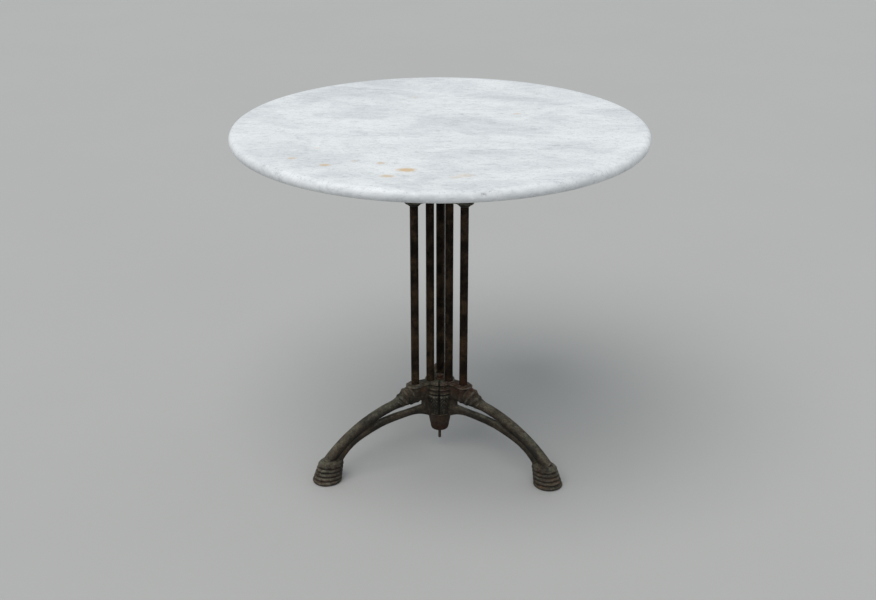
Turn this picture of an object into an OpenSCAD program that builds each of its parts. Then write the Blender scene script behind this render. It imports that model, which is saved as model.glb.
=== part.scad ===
// Cafe table: a round marble slab on a three-legged cast iron base with a column of six thin tubes.
// The origin is on the floor, on the axis of the column. Every casting is drawn with its arm along +X
// and then turned about the axis to its own place.

/* [Marble top] */
// Diameter of the slab over its half-round edge
top_d = 800; // [600:1:1000]
// Thickness of the slab
top_t = 23; // [19:0.5:32]
// Height of the table from the floor to the top of the slab
table_h = 710; // [580:1:900]

/* [Column] */
// Outer diameter of a column tube
tube_d = 16.5; // [13:0.1:20]
// Wall of a column tube
tube_wall = 2; // [1.2:0.1:3]
// Radius of the circle on which the three inner tubes stand
inner_circle_r = 22; // [20:0.5:26]
// Radius of the circle on which the three outer tubes stand
outer_circle_r = 56.8; // [50:0.1:70]
// Height of the lower hub's top face, where the tubes enter it
hub_top_h = 173.5; // [150:0.5:210]
// Depth of the tube sockets
socket_depth = 26; // [18:0.5:32]
// Gap between a tube and its socket, on the radius
socket_gap = 0.15; // [0.05:0.01:0.4]

/* [Hub castings] */
// Iron around a tube in its socket
socket_wall = 4.5; // [3:0.5:6.5]
// Width by which the flange stands out around the outer socket
flange_lip = 4.5; // [3:0.5:6]
// Thickness of the flange at the mouth of the sockets
flange_t = 6; // [3:0.5:10]
// Radius of the flange between the arms
hub_r = 31; // [28:0.5:40]
// Depth of the hollow moulding under the flange
cove_h = 7; // [4:0.5:10]
// Height of the raised belt under the hollow moulding
belt_h = 12; // [6:0.5:16]
// Height of the groove under the belt
groove_h = 5; // [3:0.5:8]
// Length of the lower hub from its mouth to its shoulder
leg_hub_len = 76; // [65:1:90]
// Length of the upper hub from its mouth to its shoulder
bracket_hub_len = 64; // [58:1:72]
// Radius of a hub at its shoulder, where the cap starts
shoulder_r = 24.5; // [21:0.5:28]
// Radius of the nose that the cap grips
nose_r = 18.5; // [15:0.5:20]
// Length of the nose
nose_len = 17; // [10:0.5:22]

/* [Legs] */
// Distance from the axis to the middle of a foot's sole
foot_circle_r = 258.5; // [210:0.5:320]
// Thickness of the round upper bar of a leg
bar_d = 20.5; // [17:0.5:26]
// Radius of the arch along the top of the upper bar
arch_r = 312; // [240:1:400]
// Depth of the lower rib of a leg
rib_h = 14.5; // [10:0.5:18]
// Width of the lower rib of a leg
rib_w = 12; // [9:0.5:16]
// Radius of the flat arch along the underside of the lower rib, from the hub to its knee
rib_arch_r = 335; // [260:1:420]
// Radius of the tight arch from the knee down into the foot
rib_bend_r = 108; // [80:1:160]
// Thickness of the web that joins bar and rib
web_t = 9; // [6:0.5:11]
// Distance from the axis to the end of the opening between bar and rib
fork_r = 153; // [130:1:180]
// Height of a foot up to its collar
foot_h = 45; // [36:0.5:56]
// Radius of the sole of a foot
sole_r = 30; // [24:0.5:36]
// Radius of the collar on top of a foot
collar_r = 27; // [22:0.5:32]
// Distance by which a foot leans back from sole to collar
foot_lean = 8.5; // [0:0.5:12]

/* [Brackets] */
// Distance from the mouth of the upper hub to the underside of the slab
bracket_h = 125; // [114:1:160]
// Distance from the axis to the screw at the end of a bracket
pad_circle_r = 172; // [150:1:210]
// Radius of the pad that lies under the slab
pad_r = 19; // [15:0.5:24]
// Thickness of that pad
pad_t = 6; // [4:0.5:10]
// Radius of the boss under the pad, which the bar runs into
boss_r = 12; // [10.5:0.5:14]
// Height of pad and boss together
boss_h = 22; // [18:0.5:30]
// Height of the rim around the sunk seat of the screw
boss_rim = 2; // [1:0.5:4]
// Gap around the screw washer in its sunk seat
seat_gap = 0.8; // [0.3:0.1:2]
// Height over its shoulder at which a bracket's rib leaves the hub
bracket_rib_lift = 6.5; // [6:0.25:9]
// Thickness of the round bar of a bracket
bracket_bar_d = 17; // [14:0.5:20]
// Radius of the arch of a bracket's bar
bracket_arch_r = 190; // [160:1:260]
// Radius of the arch along a bracket's rib
bracket_rib_r = 130; // [110:1:170]

/* [Caps] */
// Length of the cap under the lower hub
hub_cup_len = 40; // [32:0.5:48]
// Radius of the free end of a cap
cup_end_r = 18; // [15:0.5:21]
// Length of the cap on the upper hub
top_cap_len = 34; // [29:0.5:38]
// Gap between a cap and the noses inside it, on the radius
cap_gap = 0.2; // [0.1:0.05:0.5]
// Radius of the recess for the nut in the end of a cap
nut_recess_r = 10.5; // [9.5:0.5:12.5]
// Iron between the nut's recess and the noses
cap_floor = 9; // [5:0.5:12]

/* [Fasteners] */
// Diameter of the two centre bolts
bolt_d = 6.4; // [5:0.1:8]
// Width across the flats of a centre bolt's head and nut
bolt_head_af = 13; // [10:0.5:16]
// Height of a centre bolt's head
bolt_head_h = 5; // [4:0.5:7]
// Height of a centre bolt's nut
bolt_nut_h = 5.5; // [4:0.5:7]
// Length of bolt that stands out beyond the lower cap
tip_len = 25; // [10:1:30]
// Length of bolt that stands out beyond the upper cap
top_tip_len = 10; // [4:1:14]
// Radius of the washer under a centre bolt's head
bolt_washer_r = 11; // [9:0.5:12.5]
// Thickness of that washer
bolt_washer_t = 2; // [1:0.5:3]
// Gap around a bolt in its hole, on the radius
bolt_gap = 0.3; // [0.1:0.05:0.6]
// Diameter of the cross pins that lock the tubes
pin_d = 4.5; // [3:0.5:6]
// Gap around a cross pin in its hole, on the radius
pin_gap = 0.05; // [0.02:0.01:0.1]
// Diameter of the screws that hold the slab
screw_d = 5.5; // [4:0.5:7]
// Radius of such a screw's head
screw_head_r = 5.5; // [4.5:0.5:7]
// Height of such a screw's head
screw_head_h = 4; // [2.5:0.5:5]
// Radius of the washer under such a head
screw_washer_r = 8; // [6.5:0.5:10]
// Thickness of that washer
screw_washer_t = 1.5; // [1:0.5:2]
// Diameter of the lead plugs in the slab
anchor_d = 12; // [10:0.5:16]
// Marble left above a lead plug
anchor_cover = 8; // [6:0.5:12]
// Gap around a screw in its lead plug and around the plug in the slab, on the radius
anchor_gap = 0.05; // [0.02:0.01:0.2]

/* [Hidden] */
$fn = 96;

// Directions of the arms, and of the pieces that go with them
LEFT = 210;
RIGHT = 330;
REAR = 90;

// Colours
MARBLE = [0.84, 0.86, 0.88];
IRON = [0.27, 0.26, 0.22];
TUBE = [0.22, 0.16, 0.13];
STEEL = [0.42, 0.39, 0.36];
LEAD = [0.45, 0.46, 0.48];

// Heights
slab_under_h = table_h - top_t;
mouth_h = slab_under_h - bracket_h;
tube_r = tube_d / 2;
bore_r = tube_r + socket_gap;
tube_len = mouth_h - hub_top_h + 2 * socket_depth;
bolt_r = bolt_d / 2;
bolt_hole_r = bolt_r + bolt_gap;
anchor_len = top_t - anchor_cover;
screw_point_gap = 2;

// Radii of the sockets and mouldings
inner_boss_r = min(tube_r + socket_wall, inner_circle_r * tan(60) - 1);
outer_boss_r = tube_r + socket_wall;
lobe_r = outer_boss_r + flange_lip;
flange_step = 2.5;
cove_r = hub_r - 3;
belt_r = hub_r + 2;
groove_r = hub_r - 1.5;
body_r = hub_r + 1;
pin_s = flange_t + cove_h / 2;
mouth_collar_h = 4;
inner_pin_half = sqrt(pow(max(cove_r, inner_circle_r + 6), 2) - pow(inner_circle_r, 2));

// The arm's root: a knuckle under the outer socket, and where the bar's top starts
knuckle_r = 16;
knuckle_x = outer_circle_r + 19;
knuckle_s = 29;
root_x = outer_circle_r + 46;
root_s = 27;
heel_root_x = shoulder_r - 4;
heel_x = shoulder_r + 16;
heel_top_s = socket_depth + 2;
heel_end_r = 8;
fork_end_r = 3;
knee_rise = 0.56;
far = 400;

// Centre of the circle of radius r through p and q, on the side that lies below the chord from p to q
function arc_centre(p, q, r) =
    let (d = q - p, half = norm(d) / 2)
    (p + q) / 2 + sqrt(r * r - half * half) * [d[1], -d[0]] / norm(d);
function direction_of(c, p) = atan2(p[1] - c[1], p[0] - c[0]);
function arc_height(c, r, x) = c[1] + sqrt(r * r - pow(x - c[0], 2));

// A profile swept along an arc in the XZ plane, from angle a0 to angle a1 about c
module swept_arc(c, r, a0, a1) {
    translate([c[0], 0, c[1]])
        rotate([90, 0, 0])
            rotate_extrude(angle = a1 - a0, start = a0)
                translate([r, 0])
                    children();
}

// A disc whose rim is half-round
module round_rim_disc(r, h) {
    rotate_extrude() {
        square([r - h / 2, h]);
        translate([r - h / 2, h / 2])
            intersection() {
                circle(d = h);
                translate([0, -h / 2])
                    square([h, h]);
            }
    }
}

// Plan of the flange: a disc, a bridge and the lobe around the outer socket
module flange_2d(inset) {
    circle(r = hub_r - inset);
    translate([0, inset - inner_boss_r])
        square([outer_circle_r, 2 * (inner_boss_r - inset)]);
    translate([outer_circle_r, 0])
        circle(r = lobe_r - inset);
}

// A third of a hub, its mouth at z = 0 and its body below, without the bores
module hub_third(len) {
    s1 = flange_t + cove_h;
    s2 = s1 + belt_h;
    s3 = s2 + groove_h;
    socket_s = socket_depth + 6;
    intersection() {
        union() {
            translate([0, 0, -flange_t])
                linear_extrude(flange_t)
                    flange_2d(flange_step);
            translate([0, 0, -flange_t])
                linear_extrude(flange_t / 2)
                    flange_2d(0);
            rotate_extrude()
                polygon([
                    [0, -1], [cove_r, -1], [cove_r, -s1 + 1], [belt_r, -s1], [belt_r, -s2],
                    [groove_r, -s2 - 1], [groove_r, -s3 + 1], [body_r, -s3], [body_r, -s3 - 6],
                    [shoulder_r, -len], [nose_r, -len], [nose_r, -len - nose_len], [0, -len - nose_len]
                ]);
            // Socket bodies and the iron between them
            translate([inner_circle_r, 0, -socket_s])
                cylinder(r = inner_boss_r, h = socket_s - 1);
            translate([outer_circle_r, 0, -socket_s])
                cylinder(r = outer_boss_r, h = socket_s - 1);
            translate([inner_circle_r, -inner_boss_r * 0.75, -socket_s])
                cube([outer_circle_r - inner_circle_r, inner_boss_r * 1.5, socket_s - 1]);
            translate([outer_circle_r, 0, -socket_s])
                sphere(r = outer_boss_r);
            translate([knuckle_x, 0, -knuckle_s])
                sphere(r = knuckle_r);
        }
        // The wedge of 120 degrees that belongs to one casting
        translate([0, 0, -len - nose_len - 1])
            linear_extrude(len + nose_len + 2)
                polygon([[0, 0], [far, -far * tan(60)], [far, far * tan(60)]]);
    }
}

// What is cut out of a third of a hub: two sockets, two pin holes and the bolt hole
module hub_cuts(len) {
    for (x = [inner_circle_r, outer_circle_r])
        translate([x, 0, -socket_depth])
            cylinder(r = bore_r, h = socket_depth + mouth_collar_h + 1);
    translate([inner_circle_r, 0, -pin_s])
        rotate([90, 0, 0])
            cylinder(r = pin_d / 2 + pin_gap, h = 2 * inner_pin_half + 8, center = true);
    translate([outer_circle_r, 0, -pin_s])
        rotate([90, 0, 0])
            cylinder(r = pin_d / 2 + pin_gap, h = 2 * outer_boss_r + 8, center = true);
    translate([0, 0, -len - nose_len - 1])
        cylinder(r = bolt_hole_r, h = len + nose_len + 2);
}

// The heel: iron behind the opening, with a round end that the opening starts from
module heel(rib_c, rib_r, rib_depth) {
    heel_low = arc_height(rib_c, rib_r, heel_x);
    heel_mid = (heel_low + rib_depth / 2 - heel_top_s) / 2;
    difference() {
        translate([heel_root_x, -web_t / 2, heel_low])
            cube([heel_x + heel_end_r - heel_root_x, web_t, -heel_top_s - heel_low]);
        translate([heel_x + heel_end_r, 0, heel_mid])
            rotate([90, 0, 0])
                cylinder(r = heel_end_r, h = 2 * web_t, center = true);
    }
}

// Section of a rib: a rectangle with rounded corners
module rib_2d(depth, width) {
    corner = 2.5;
    square([depth - 2 * corner, width], center = true);
    square([depth, width - 2 * corner], center = true);
    for (i = [-1, 1], j = [-1, 1])
        translate([i * (depth / 2 - corner), j * (width / 2 - corner)])
            circle(r = corner);
}

// Round bar, rib and the web between them. bar_end lies on the bar's top. The rib is a flat arch up to its
// knee and a tight one from there, which runs on from it without a corner and ends at the height rib_end_z.
// With equal radii it is one arch.
module arm(
    len, bar_end, rib_end_z, bar_r, bar_w, flat_r, bend_r, knee_x, rib_depth, rib_width, fork_x,
    rib_lift = 5
) {
    bar_start = [root_x, -root_s];
    rib_start = [shoulder_r + 35, -len + rib_lift];
    knee = [knee_x, rib_end_z + knee_rise * (rib_start[1] - rib_end_z)];
    bar_c = arc_centre(bar_start, bar_end, bar_r);
    flat_c = arc_centre(rib_start, knee, flat_r);
    bend_c = knee + (flat_c - knee) * bend_r / flat_r;
    bar_mid_r = bar_r - bar_w / 2;
    flat_mid_r = flat_r + rib_depth / 2;
    bend_mid_r = bend_r + rib_depth / 2;
    knee_a = direction_of(flat_c, knee);
    bar_a0 = direction_of(bar_c, bar_end);
    bend_a0 = asin((rib_end_z - bend_c[1]) / bend_r);
    knee_mid_x = flat_c[0] + flat_mid_r * cos(knee_a);
    swept_arc(bar_c, bar_mid_r, bar_a0, acos((knuckle_x - bar_c[0]) / bar_mid_r))
        circle(d = bar_w);
    heel_a = acos((heel_root_x - flat_c[0]) / flat_mid_r);
    if (bend_r == flat_r)
        swept_arc(flat_c, flat_mid_r, bend_a0, heel_a)
            rib_2d(rib_depth, rib_width);
    else {
        swept_arc(flat_c, flat_mid_r, knee_a, heel_a)
            rib_2d(rib_depth, rib_width);
        swept_arc(bend_c, bend_mid_r, bend_a0, knee_a)
            rib_2d(rib_depth, rib_width);
    }
    function rib_height(x) =
        x < knee_mid_x ? arc_height(flat_c, flat_mid_r, x) : arc_height(bend_c, bend_mid_r, x);
    bar_last_x = bar_c[0] + bar_mid_r * cos(bar_a0);
    rib_last_x = bend_c[0] + bend_mid_r * cos(bend_a0);
    steps = 12;
    difference() {
        translate([0, web_t / 2, 0])
            rotate([90, 0, 0])
                linear_extrude(web_t)
                    polygon(concat(
                        [for (i = [0 : steps])
                            let (x = fork_x + (bar_last_x - fork_x) * i / steps)
                            [x, arc_height(bar_c, bar_mid_r, x)]],
                        [for (i = [steps : -1 : 0])
                            let (x = fork_x + (rib_last_x - fork_x) * i / steps)
                            [x, rib_height(x)]]
                    ));
        translate([fork_x, 0, (arc_height(bar_c, bar_mid_r, fork_x) + rib_height(fork_x)) / 2])
            rotate([90, 0, 0])
                cylinder(r = fork_end_r, h = 2 * web_t, center = true);
    }
    heel(flat_c, flat_mid_r, rib_depth);
}

// A ridged hoof that leans back towards the axis, its sole at z = 0
module foot() {
    ridges = 5;
    pitch = foot_h / ridges;
    for (i = [0 : ridges - 1]) {
        t = i / (ridges - 1);
        translate([foot_circle_r - foot_lean * t, 0, i * pitch])
            round_rim_disc(sole_r + (collar_r - sole_r) * t, pitch + (i < ridges - 1 ? 1 : 0));
    }
}

module leg(direction) {
    rotate([0, 0, direction])
        color(IRON) {
            translate([0, 0, hub_top_h])
                difference() {
                    union() {
                        hub_third(leg_hub_len);
                        arm(
                            leg_hub_len,
                            [foot_circle_r + 8.5, foot_h + 2 - hub_top_h],
                            foot_h - 9 - hub_top_h,
                            arch_r, bar_d, rib_arch_r, rib_bend_r, foot_circle_r - 79.5,
                            rib_h, rib_w, fork_r
                        );
                    }
                    hub_cuts(leg_hub_len);
                }
            foot();
        }
}

// A bracket is a small leg turned over, with a flat pad on a boss for a foot
module bracket(direction) {
    rotate([0, 0, direction])
        color(IRON)
            translate([0, 0, mouth_h])
                mirror([0, 0, 1])
                    difference() {
                        union() {
                            hub_third(bracket_hub_len);
                            translate([outer_circle_r, 0, -1])
                                cylinder(r1 = lobe_r - flange_step - 1, r2 = bore_r + 2, h = mouth_collar_h + 1);
                            arm(
                                bracket_hub_len,
                                [pad_circle_r + 6, -bracket_h + 18],
                                -bracket_h + 5,
                                bracket_arch_r, bracket_bar_d,
                                bracket_rib_r, bracket_rib_r, pad_circle_r - 32,
                                rib_h - 3, rib_w - 2, pad_circle_r - 50,
                                bracket_rib_lift
                            );
                            translate([pad_circle_r, 0, -bracket_h]) {
                                cylinder(r = pad_r, h = pad_t);
                                cylinder(r = boss_r, h = boss_h + boss_rim);
                            }
                        }
                        hub_cuts(bracket_hub_len);
                        translate([pad_circle_r, 0, -bracket_h - 1])
                            cylinder(r = screw_d / 2 + bolt_gap, h = boss_h + 2);
                        // Sunk seat for the washer and the screw head, cut clear of the bar
                        translate([pad_circle_r, 0, -bracket_h + boss_h])
                            cylinder(r = screw_washer_r + seat_gap, h = bracket_h - boss_h - bracket_hub_len / 2);
                    }
}

module tube(direction, circle_r) {
    color(TUBE)
        rotate([0, 0, direction])
            translate([circle_r, 0, hub_top_h - socket_depth])
                difference() {
                    cylinder(r = tube_r, h = tube_len);
                    translate([0, 0, -1])
                        cylinder(r = tube_r - tube_wall, h = tube_len + 2);
                    for (z = [socket_depth - pin_s, tube_len - socket_depth + pin_s])
                        translate([0, 0, z])
                            rotate([90, 0, 0])
                                cylinder(r = pin_d / 2 + pin_gap, h = 2 * tube_d, center = true);
                }
}

// Six cross pins at one height
module tube_pins(z) {
    color(STEEL)
        for (direction = [LEFT, RIGHT, REAR])
            rotate([0, 0, direction]) {
                translate([inner_circle_r, 0, z])
                    rotate([90, 0, 0])
                        cylinder(d = pin_d, h = 2 * inner_pin_half, center = true);
                translate([outer_circle_r, 0, z])
                    rotate([90, 0, 0])
                        cylinder(d = pin_d, h = 2 * outer_boss_r - 0.6, center = true);
            }
}

module hex_2d(af) {
    circle(d = af / cos(30), $fn = 6);
}

// A cap that grips three noses: its mouth at z = 0, its body below, and a recess for the nut in its end
module cap(len) {
    color(IRON)
        difference() {
            rotate_extrude()
                polygon([[0, -len], [cup_end_r - 2, -len], [cup_end_r, -len + 2], [shoulder_r, 0], [0, 0]]);
            translate([0, 0, -nose_len])
                cylinder(r = nose_r + cap_gap, h = nose_len + 1);
            translate([0, 0, -len - 1])
                cylinder(r = bolt_hole_r, h = len + 2);
            translate([0, 0, -len - 1])
                cylinder(r = nut_recess_r, h = len - nose_len - cap_floor + 1);
        }
}

// A centre bolt hanging from its head, the underside of the head at z = 0
module centre_bolt(shank) {
    color(STEEL) {
        linear_extrude(bolt_head_h)
            hex_2d(bolt_head_af);
        translate([0, 0, -shank])
            cylinder(r = bolt_r, h = shank);
    }
}

module bolt_washer() {
    color(STEEL)
        difference() {
            cylinder(r = bolt_washer_r, h = bolt_washer_t);
            translate([0, 0, -1])
                cylinder(r = bolt_hole_r, h = bolt_washer_t + 2);
        }
}

// A nut on a centre bolt, its seat at z = 0 and its body below
module centre_nut() {
    color(STEEL)
        translate([0, 0, -bolt_nut_h])
            difference() {
                linear_extrude(bolt_nut_h)
                    hex_2d(bolt_head_af);
                translate([0, 0, -1])
                    cylinder(r = bolt_r + anchor_gap, h = bolt_nut_h + 2);
            }
}

module hub_cup() {
    translate([0, 0, hub_top_h - leg_hub_len])
        cap(hub_cup_len);
}

module hub_bolt() {
    translate([0, 0, hub_top_h + bolt_washer_t])
        centre_bolt(bolt_washer_t + leg_hub_len + hub_cup_len + tip_len);
}

module hub_bolt_washer() {
    translate([0, 0, hub_top_h])
        bolt_washer();
}

module hub_nut() {
    translate([0, 0, hub_top_h - leg_hub_len - nose_len - cap_floor])
        centre_nut();
}

// The upper clamp is the lower one turned over
module turned_over() {
    translate([0, 0, mouth_h])
        mirror([0, 0, 1])
            children();
}

module top_cap() {
    turned_over()
        translate([0, 0, -bracket_hub_len])
            cap(top_cap_len);
}

module top_bolt() {
    turned_over()
        translate([0, 0, bolt_washer_t])
            centre_bolt(bolt_washer_t + bracket_hub_len + top_cap_len + top_tip_len);
}

module top_bolt_washer() {
    turned_over()
        bolt_washer();
}

module top_nut() {
    turned_over()
        translate([0, 0, -bracket_hub_len - nose_len - cap_floor])
            centre_nut();
}

module at_pads() {
    for (direction = [LEFT, RIGHT, REAR])
        rotate([0, 0, direction])
            translate([pad_circle_r, 0, slab_under_h])
                children();
}

module marble_top() {
    color(MARBLE)
        difference() {
            translate([0, 0, slab_under_h])
                round_rim_disc(top_d / 2, top_t, $fn = 240);
            at_pads()
                translate([0, 0, -1])
                    cylinder(r = anchor_d / 2 + anchor_gap, h = anchor_len + 1);
        }
}

module marble_anchors() {
    color(LEAD)
        at_pads()
            difference() {
                cylinder(d = anchor_d, h = anchor_len);
                translate([0, 0, -1])
                    cylinder(r = screw_d / 2 + anchor_gap, h = anchor_len);
            }
}

module marble_screws() {
    shank = boss_h + screw_washer_t + anchor_len - screw_point_gap;
    color(STEEL)
        at_pads()
            translate([0, 0, -boss_h - screw_washer_t]) {
                cylinder(d = screw_d, h = shank);
                translate([0, 0, -screw_head_h])
                    cylinder(r = screw_head_r, h = screw_head_h);
            }
}

module marble_screw_washers() {
    color(STEEL)
        at_pads()
            translate([0, 0, -boss_h - screw_washer_t])
                difference() {
                    cylinder(r = screw_washer_r, h = screw_washer_t);
                    translate([0, 0, -1])
                        cylinder(r = screw_d / 2 + bolt_gap, h = screw_washer_t + 2);
                }
}

marble_top();
marble_anchors();
marble_screws();
marble_screw_washers();
bracket(LEFT);  // bracket_left
bracket(RIGHT);  // bracket_right
bracket(REAR);  // bracket_rear
top_cap();
top_bolt();
top_bolt_washer();
top_nut();
tube_pins(mouth_h + pin_s);  // upper_tube_pins
tube(LEFT, outer_circle_r);  // outer_tube_left
tube(RIGHT, outer_circle_r);  // outer_tube_right
tube(REAR, outer_circle_r);  // outer_tube_rear
tube(LEFT, inner_circle_r);  // inner_tube_left
tube(RIGHT, inner_circle_r);  // inner_tube_right
tube(REAR, inner_circle_r);  // inner_tube_rear
tube_pins(hub_top_h - pin_s);  // lower_tube_pins
leg(LEFT);  // leg_left
leg(RIGHT);  // leg_right
leg(REAR);  // leg_rear
hub_cup();
hub_bolt();
hub_bolt_washer();
hub_nut();
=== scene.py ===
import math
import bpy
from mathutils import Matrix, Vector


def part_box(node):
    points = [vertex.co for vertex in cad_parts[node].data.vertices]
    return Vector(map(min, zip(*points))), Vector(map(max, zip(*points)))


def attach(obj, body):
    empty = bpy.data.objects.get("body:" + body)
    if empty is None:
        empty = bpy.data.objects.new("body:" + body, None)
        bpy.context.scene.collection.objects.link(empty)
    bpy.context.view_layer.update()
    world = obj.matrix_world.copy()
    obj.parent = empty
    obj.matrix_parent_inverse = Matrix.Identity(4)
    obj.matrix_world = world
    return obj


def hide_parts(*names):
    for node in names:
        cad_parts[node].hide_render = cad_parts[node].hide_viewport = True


bl_info = {
    "name": "Cafe table",
    "version": (1, 0, 0),
    "blender": (4, 5, 0),
    "location": "3D View > Sidebar > Table",
    "description": "Marble cafe table on an iron tripod base with a column of six tubes",
    "category": "Object",
}

import bmesh
import bpy
import numpy as np
from mathutils import Matrix, Vector, noise

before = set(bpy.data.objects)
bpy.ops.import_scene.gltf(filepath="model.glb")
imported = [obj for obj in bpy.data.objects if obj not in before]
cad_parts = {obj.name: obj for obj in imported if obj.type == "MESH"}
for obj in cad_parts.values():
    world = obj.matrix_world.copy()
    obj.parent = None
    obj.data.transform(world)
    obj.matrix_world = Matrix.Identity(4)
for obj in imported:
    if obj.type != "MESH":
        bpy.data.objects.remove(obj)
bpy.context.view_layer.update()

MM = 0.001
TAU = 2 * math.pi
ARMS = {"left": 210.0, "right": 330.0, "rear": 90.0}


def node_box(name):
    """Lowest and highest corner of a node, in millimetres."""
    low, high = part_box(name)
    return low / MM, high / MM


# Sizes that the frame gives, in millimetres
SLAB_LOW, SLAB_HIGH = node_box("marble_top")
INNER_LOW, INNER_HIGH = node_box("inner_tube_rear")
OUTER_LOW, OUTER_HIGH = node_box("outer_tube_rear")
LEG_HIGH = node_box("leg_rear")[1]
CUP_LOW, CUP_HIGH = node_box("hub_cup")
TOP_CAP_LOW, TOP_CAP_HIGH = node_box("top_cap")
HUB_BOLT_LOW, HUB_BOLT_HIGH = node_box("hub_bolt")
TOP_BOLT_LOW, TOP_BOLT_HIGH = node_box("top_bolt")
HUB_WASHER_LOW, HUB_WASHER_HIGH = node_box("hub_bolt_washer")
TOP_WASHER_LOW, TOP_WASHER_HIGH = node_box("top_bolt_washer")
HUB_NUT_LOW, HUB_NUT_HIGH = node_box("hub_nut")
TOP_NUT_LOW, TOP_NUT_HIGH = node_box("top_nut")
LOWER_PINS_LOW, LOWER_PINS_HIGH = node_box("lower_tube_pins")
UPPER_PINS_LOW, UPPER_PINS_HIGH = node_box("upper_tube_pins")
SCREWS_LOW, SCREWS_HIGH = node_box("marble_screws")
SCREW_WASHERS_LOW, SCREW_WASHERS_HIGH = node_box("marble_screw_washers")
PLUGS_LOW, PLUGS_HIGH = node_box("marble_anchors")

TUBE_R = (INNER_HIGH.x - INNER_LOW.x) / 2
INNER_CIRCLE_R = (INNER_LOW.y + INNER_HIGH.y) / 2
OUTER_CIRCLE_R = (OUTER_LOW.y + OUTER_HIGH.y) / 2
HUB_TOP = HUB_WASHER_LOW.z
MOUTH_TOP = TOP_WASHER_HIGH.z
SOLE_R = 30.0
FOOT_CIRCLE_R = LEG_HIGH.y - SOLE_R
SCREW_WASHER_R = 8.0
PAD_CIRCLE_R = SCREW_WASHERS_HIGH.y - SCREW_WASHER_R


# ---------------------------------------------------------------------------
# Sizes and colours


def length(name, about, millimetres, low=0.0):
    return bpy.props.FloatProperty(
        name=name,
        description=about,
        default=millimetres * MM,
        min=low * MM,
        precision=5,
        unit="LENGTH",
        subtype="DISTANCE",
    )


def colour(name, about, rgb):
    return bpy.props.FloatVectorProperty(
        name=name, description=about, default=rgb, size=3, min=0.0, max=1.0, subtype="COLOR"
    )


class TableSlabSizes(bpy.types.PropertyGroup):
    radius: length("Radius", "Radius of the slab over its half-round edge", SLAB_HIGH.x)
    under: length("Underside", "Height of the underside over the floor", SLAB_LOW.z)
    thickness: length("Thickness", "Thickness of the slab", SLAB_HIGH.z - SLAB_LOW.z)
    chip_depth: length("Chip depth", "Depth of the largest chips in the edge", 1.6)
    chips: bpy.props.IntProperty(
        name="Chips", description="Number of small chips around the edge", default=30, min=0
    )


class TableCastingSizes(bpy.types.PropertyGroup):
    skin: length("Skin", "Size of the cells that the iron skin is made of", 0.85, 0.4)
    bar: length("Bar", "Thickness of a leg's upper bar", 20.5)
    rib_depth: length("Rib depth", "Depth of a leg's lower rib", 14.5)
    rib_rise: length("Rib rise", "Height of a leg's rib over its plain arc", 3.2)
    rib_width: length("Rib width", "Width of a leg's lower rib", 12.0)
    web: length("Web", "Thickness of the web between bar and rib", 9.0)
    leaf: length("Leaf relief", "Height of the leaf work over the iron", 2.1)
    rough_cast: length("Rough cast", "Height of the unevenness of the cast skin", 0.22)
    seam: length("Seam", "Depth of the rounded joint between two castings", 1.7)
    ridges: bpy.props.IntProperty(
        name="Ridges", description="Ridges of a hoof, its collar included", default=5, min=2
    )
    hoof_height: length("Hoof height", "Height of a hoof up to the top of its collar", 41.0)
    sole: length("Sole", "Radius of the sole of a hoof", SOLE_R)
    collar: length("Collar", "Radius of the collar of a hoof", 27.0)
    lean: length("Lean", "Distance by which a hoof leans back towards the column", 8.5)


class TableColumnSizes(bpy.types.PropertyGroup):
    radius: length("Tube radius", "Outer radius of a column tube", TUBE_R)
    wall: length("Tube wall", "Wall of a column tube", 2.0)
    inner_circle: length("Inner circle", "Radius on which the inner tubes stand", INNER_CIRCLE_R)
    outer_circle: length("Outer circle", "Radius on which the outer tubes stand", OUTER_CIRCLE_R)
    gap: length("Socket gap", "Gap between a tube and its socket", 0.15)


class TableFastenerSizes(bpy.types.PropertyGroup):
    bolt: length("Bolt", "Diameter of the centre bolts", 6.4)
    head: length("Head", "Width across the flats of bolt heads and nuts", 13.0)
    pitch: length("Pitch", "Pitch of the thread on the centre bolts", 1.25, 0.2)
    pin: length("Pin", "Diameter of the cross pins", 4.5)
    screw: length("Screw", "Diameter of the screws under the slab", 5.5)
    screw_head: length("Screw head", "Radius of a screw's head", 5.5)


class TableFinishes(bpy.types.PropertyGroup):
    marble_light: colour("Marble", "Light ground of the marble", (0.76, 0.78, 0.79))
    marble_cloud: colour("Marble clouds", "Grey clouds in the marble", (0.56, 0.585, 0.605))
    marble_vein: colour("Marble veins", "Fine veins in the marble", (0.30, 0.32, 0.35))
    rust_stain: colour("Rust stain", "Rust stains on the marble", (0.60, 0.40, 0.18))
    iron_dark: colour("Iron", "Dark oxidised cast iron", (0.026, 0.022, 0.016))
    iron_brown: colour("Brown iron", "Browner patches of the cast iron", (0.056, 0.042, 0.028))
    patina: colour("Patina", "Grey-green bloom on faces that look up", (0.120, 0.118, 0.085))
    worn: colour("Worn edge", "Edges that are rubbed bright", (0.21, 0.195, 0.150))
    moss: colour("Moss", "Green growth in the hollows", (0.050, 0.062, 0.030))
    rust: colour("Rust", "Fresh orange rust", (0.21, 0.085, 0.030))
    rust_deep: colour("Deep rust", "Old dark red rust", (0.040, 0.018, 0.010))
    tube_dark: colour("Tube", "Dark skin of the tubes", (0.012, 0.0082, 0.0052))
    tube_brown: colour("Brown tube", "Rustier parts of the tubes", (0.052, 0.033, 0.018))
    steel: colour("Steel", "Dull steel of bolts, nuts and pins", (0.075, 0.062, 0.050))
    lead: colour("Lead", "Lead of the plugs in the slab", (0.24, 0.25, 0.27))


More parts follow.
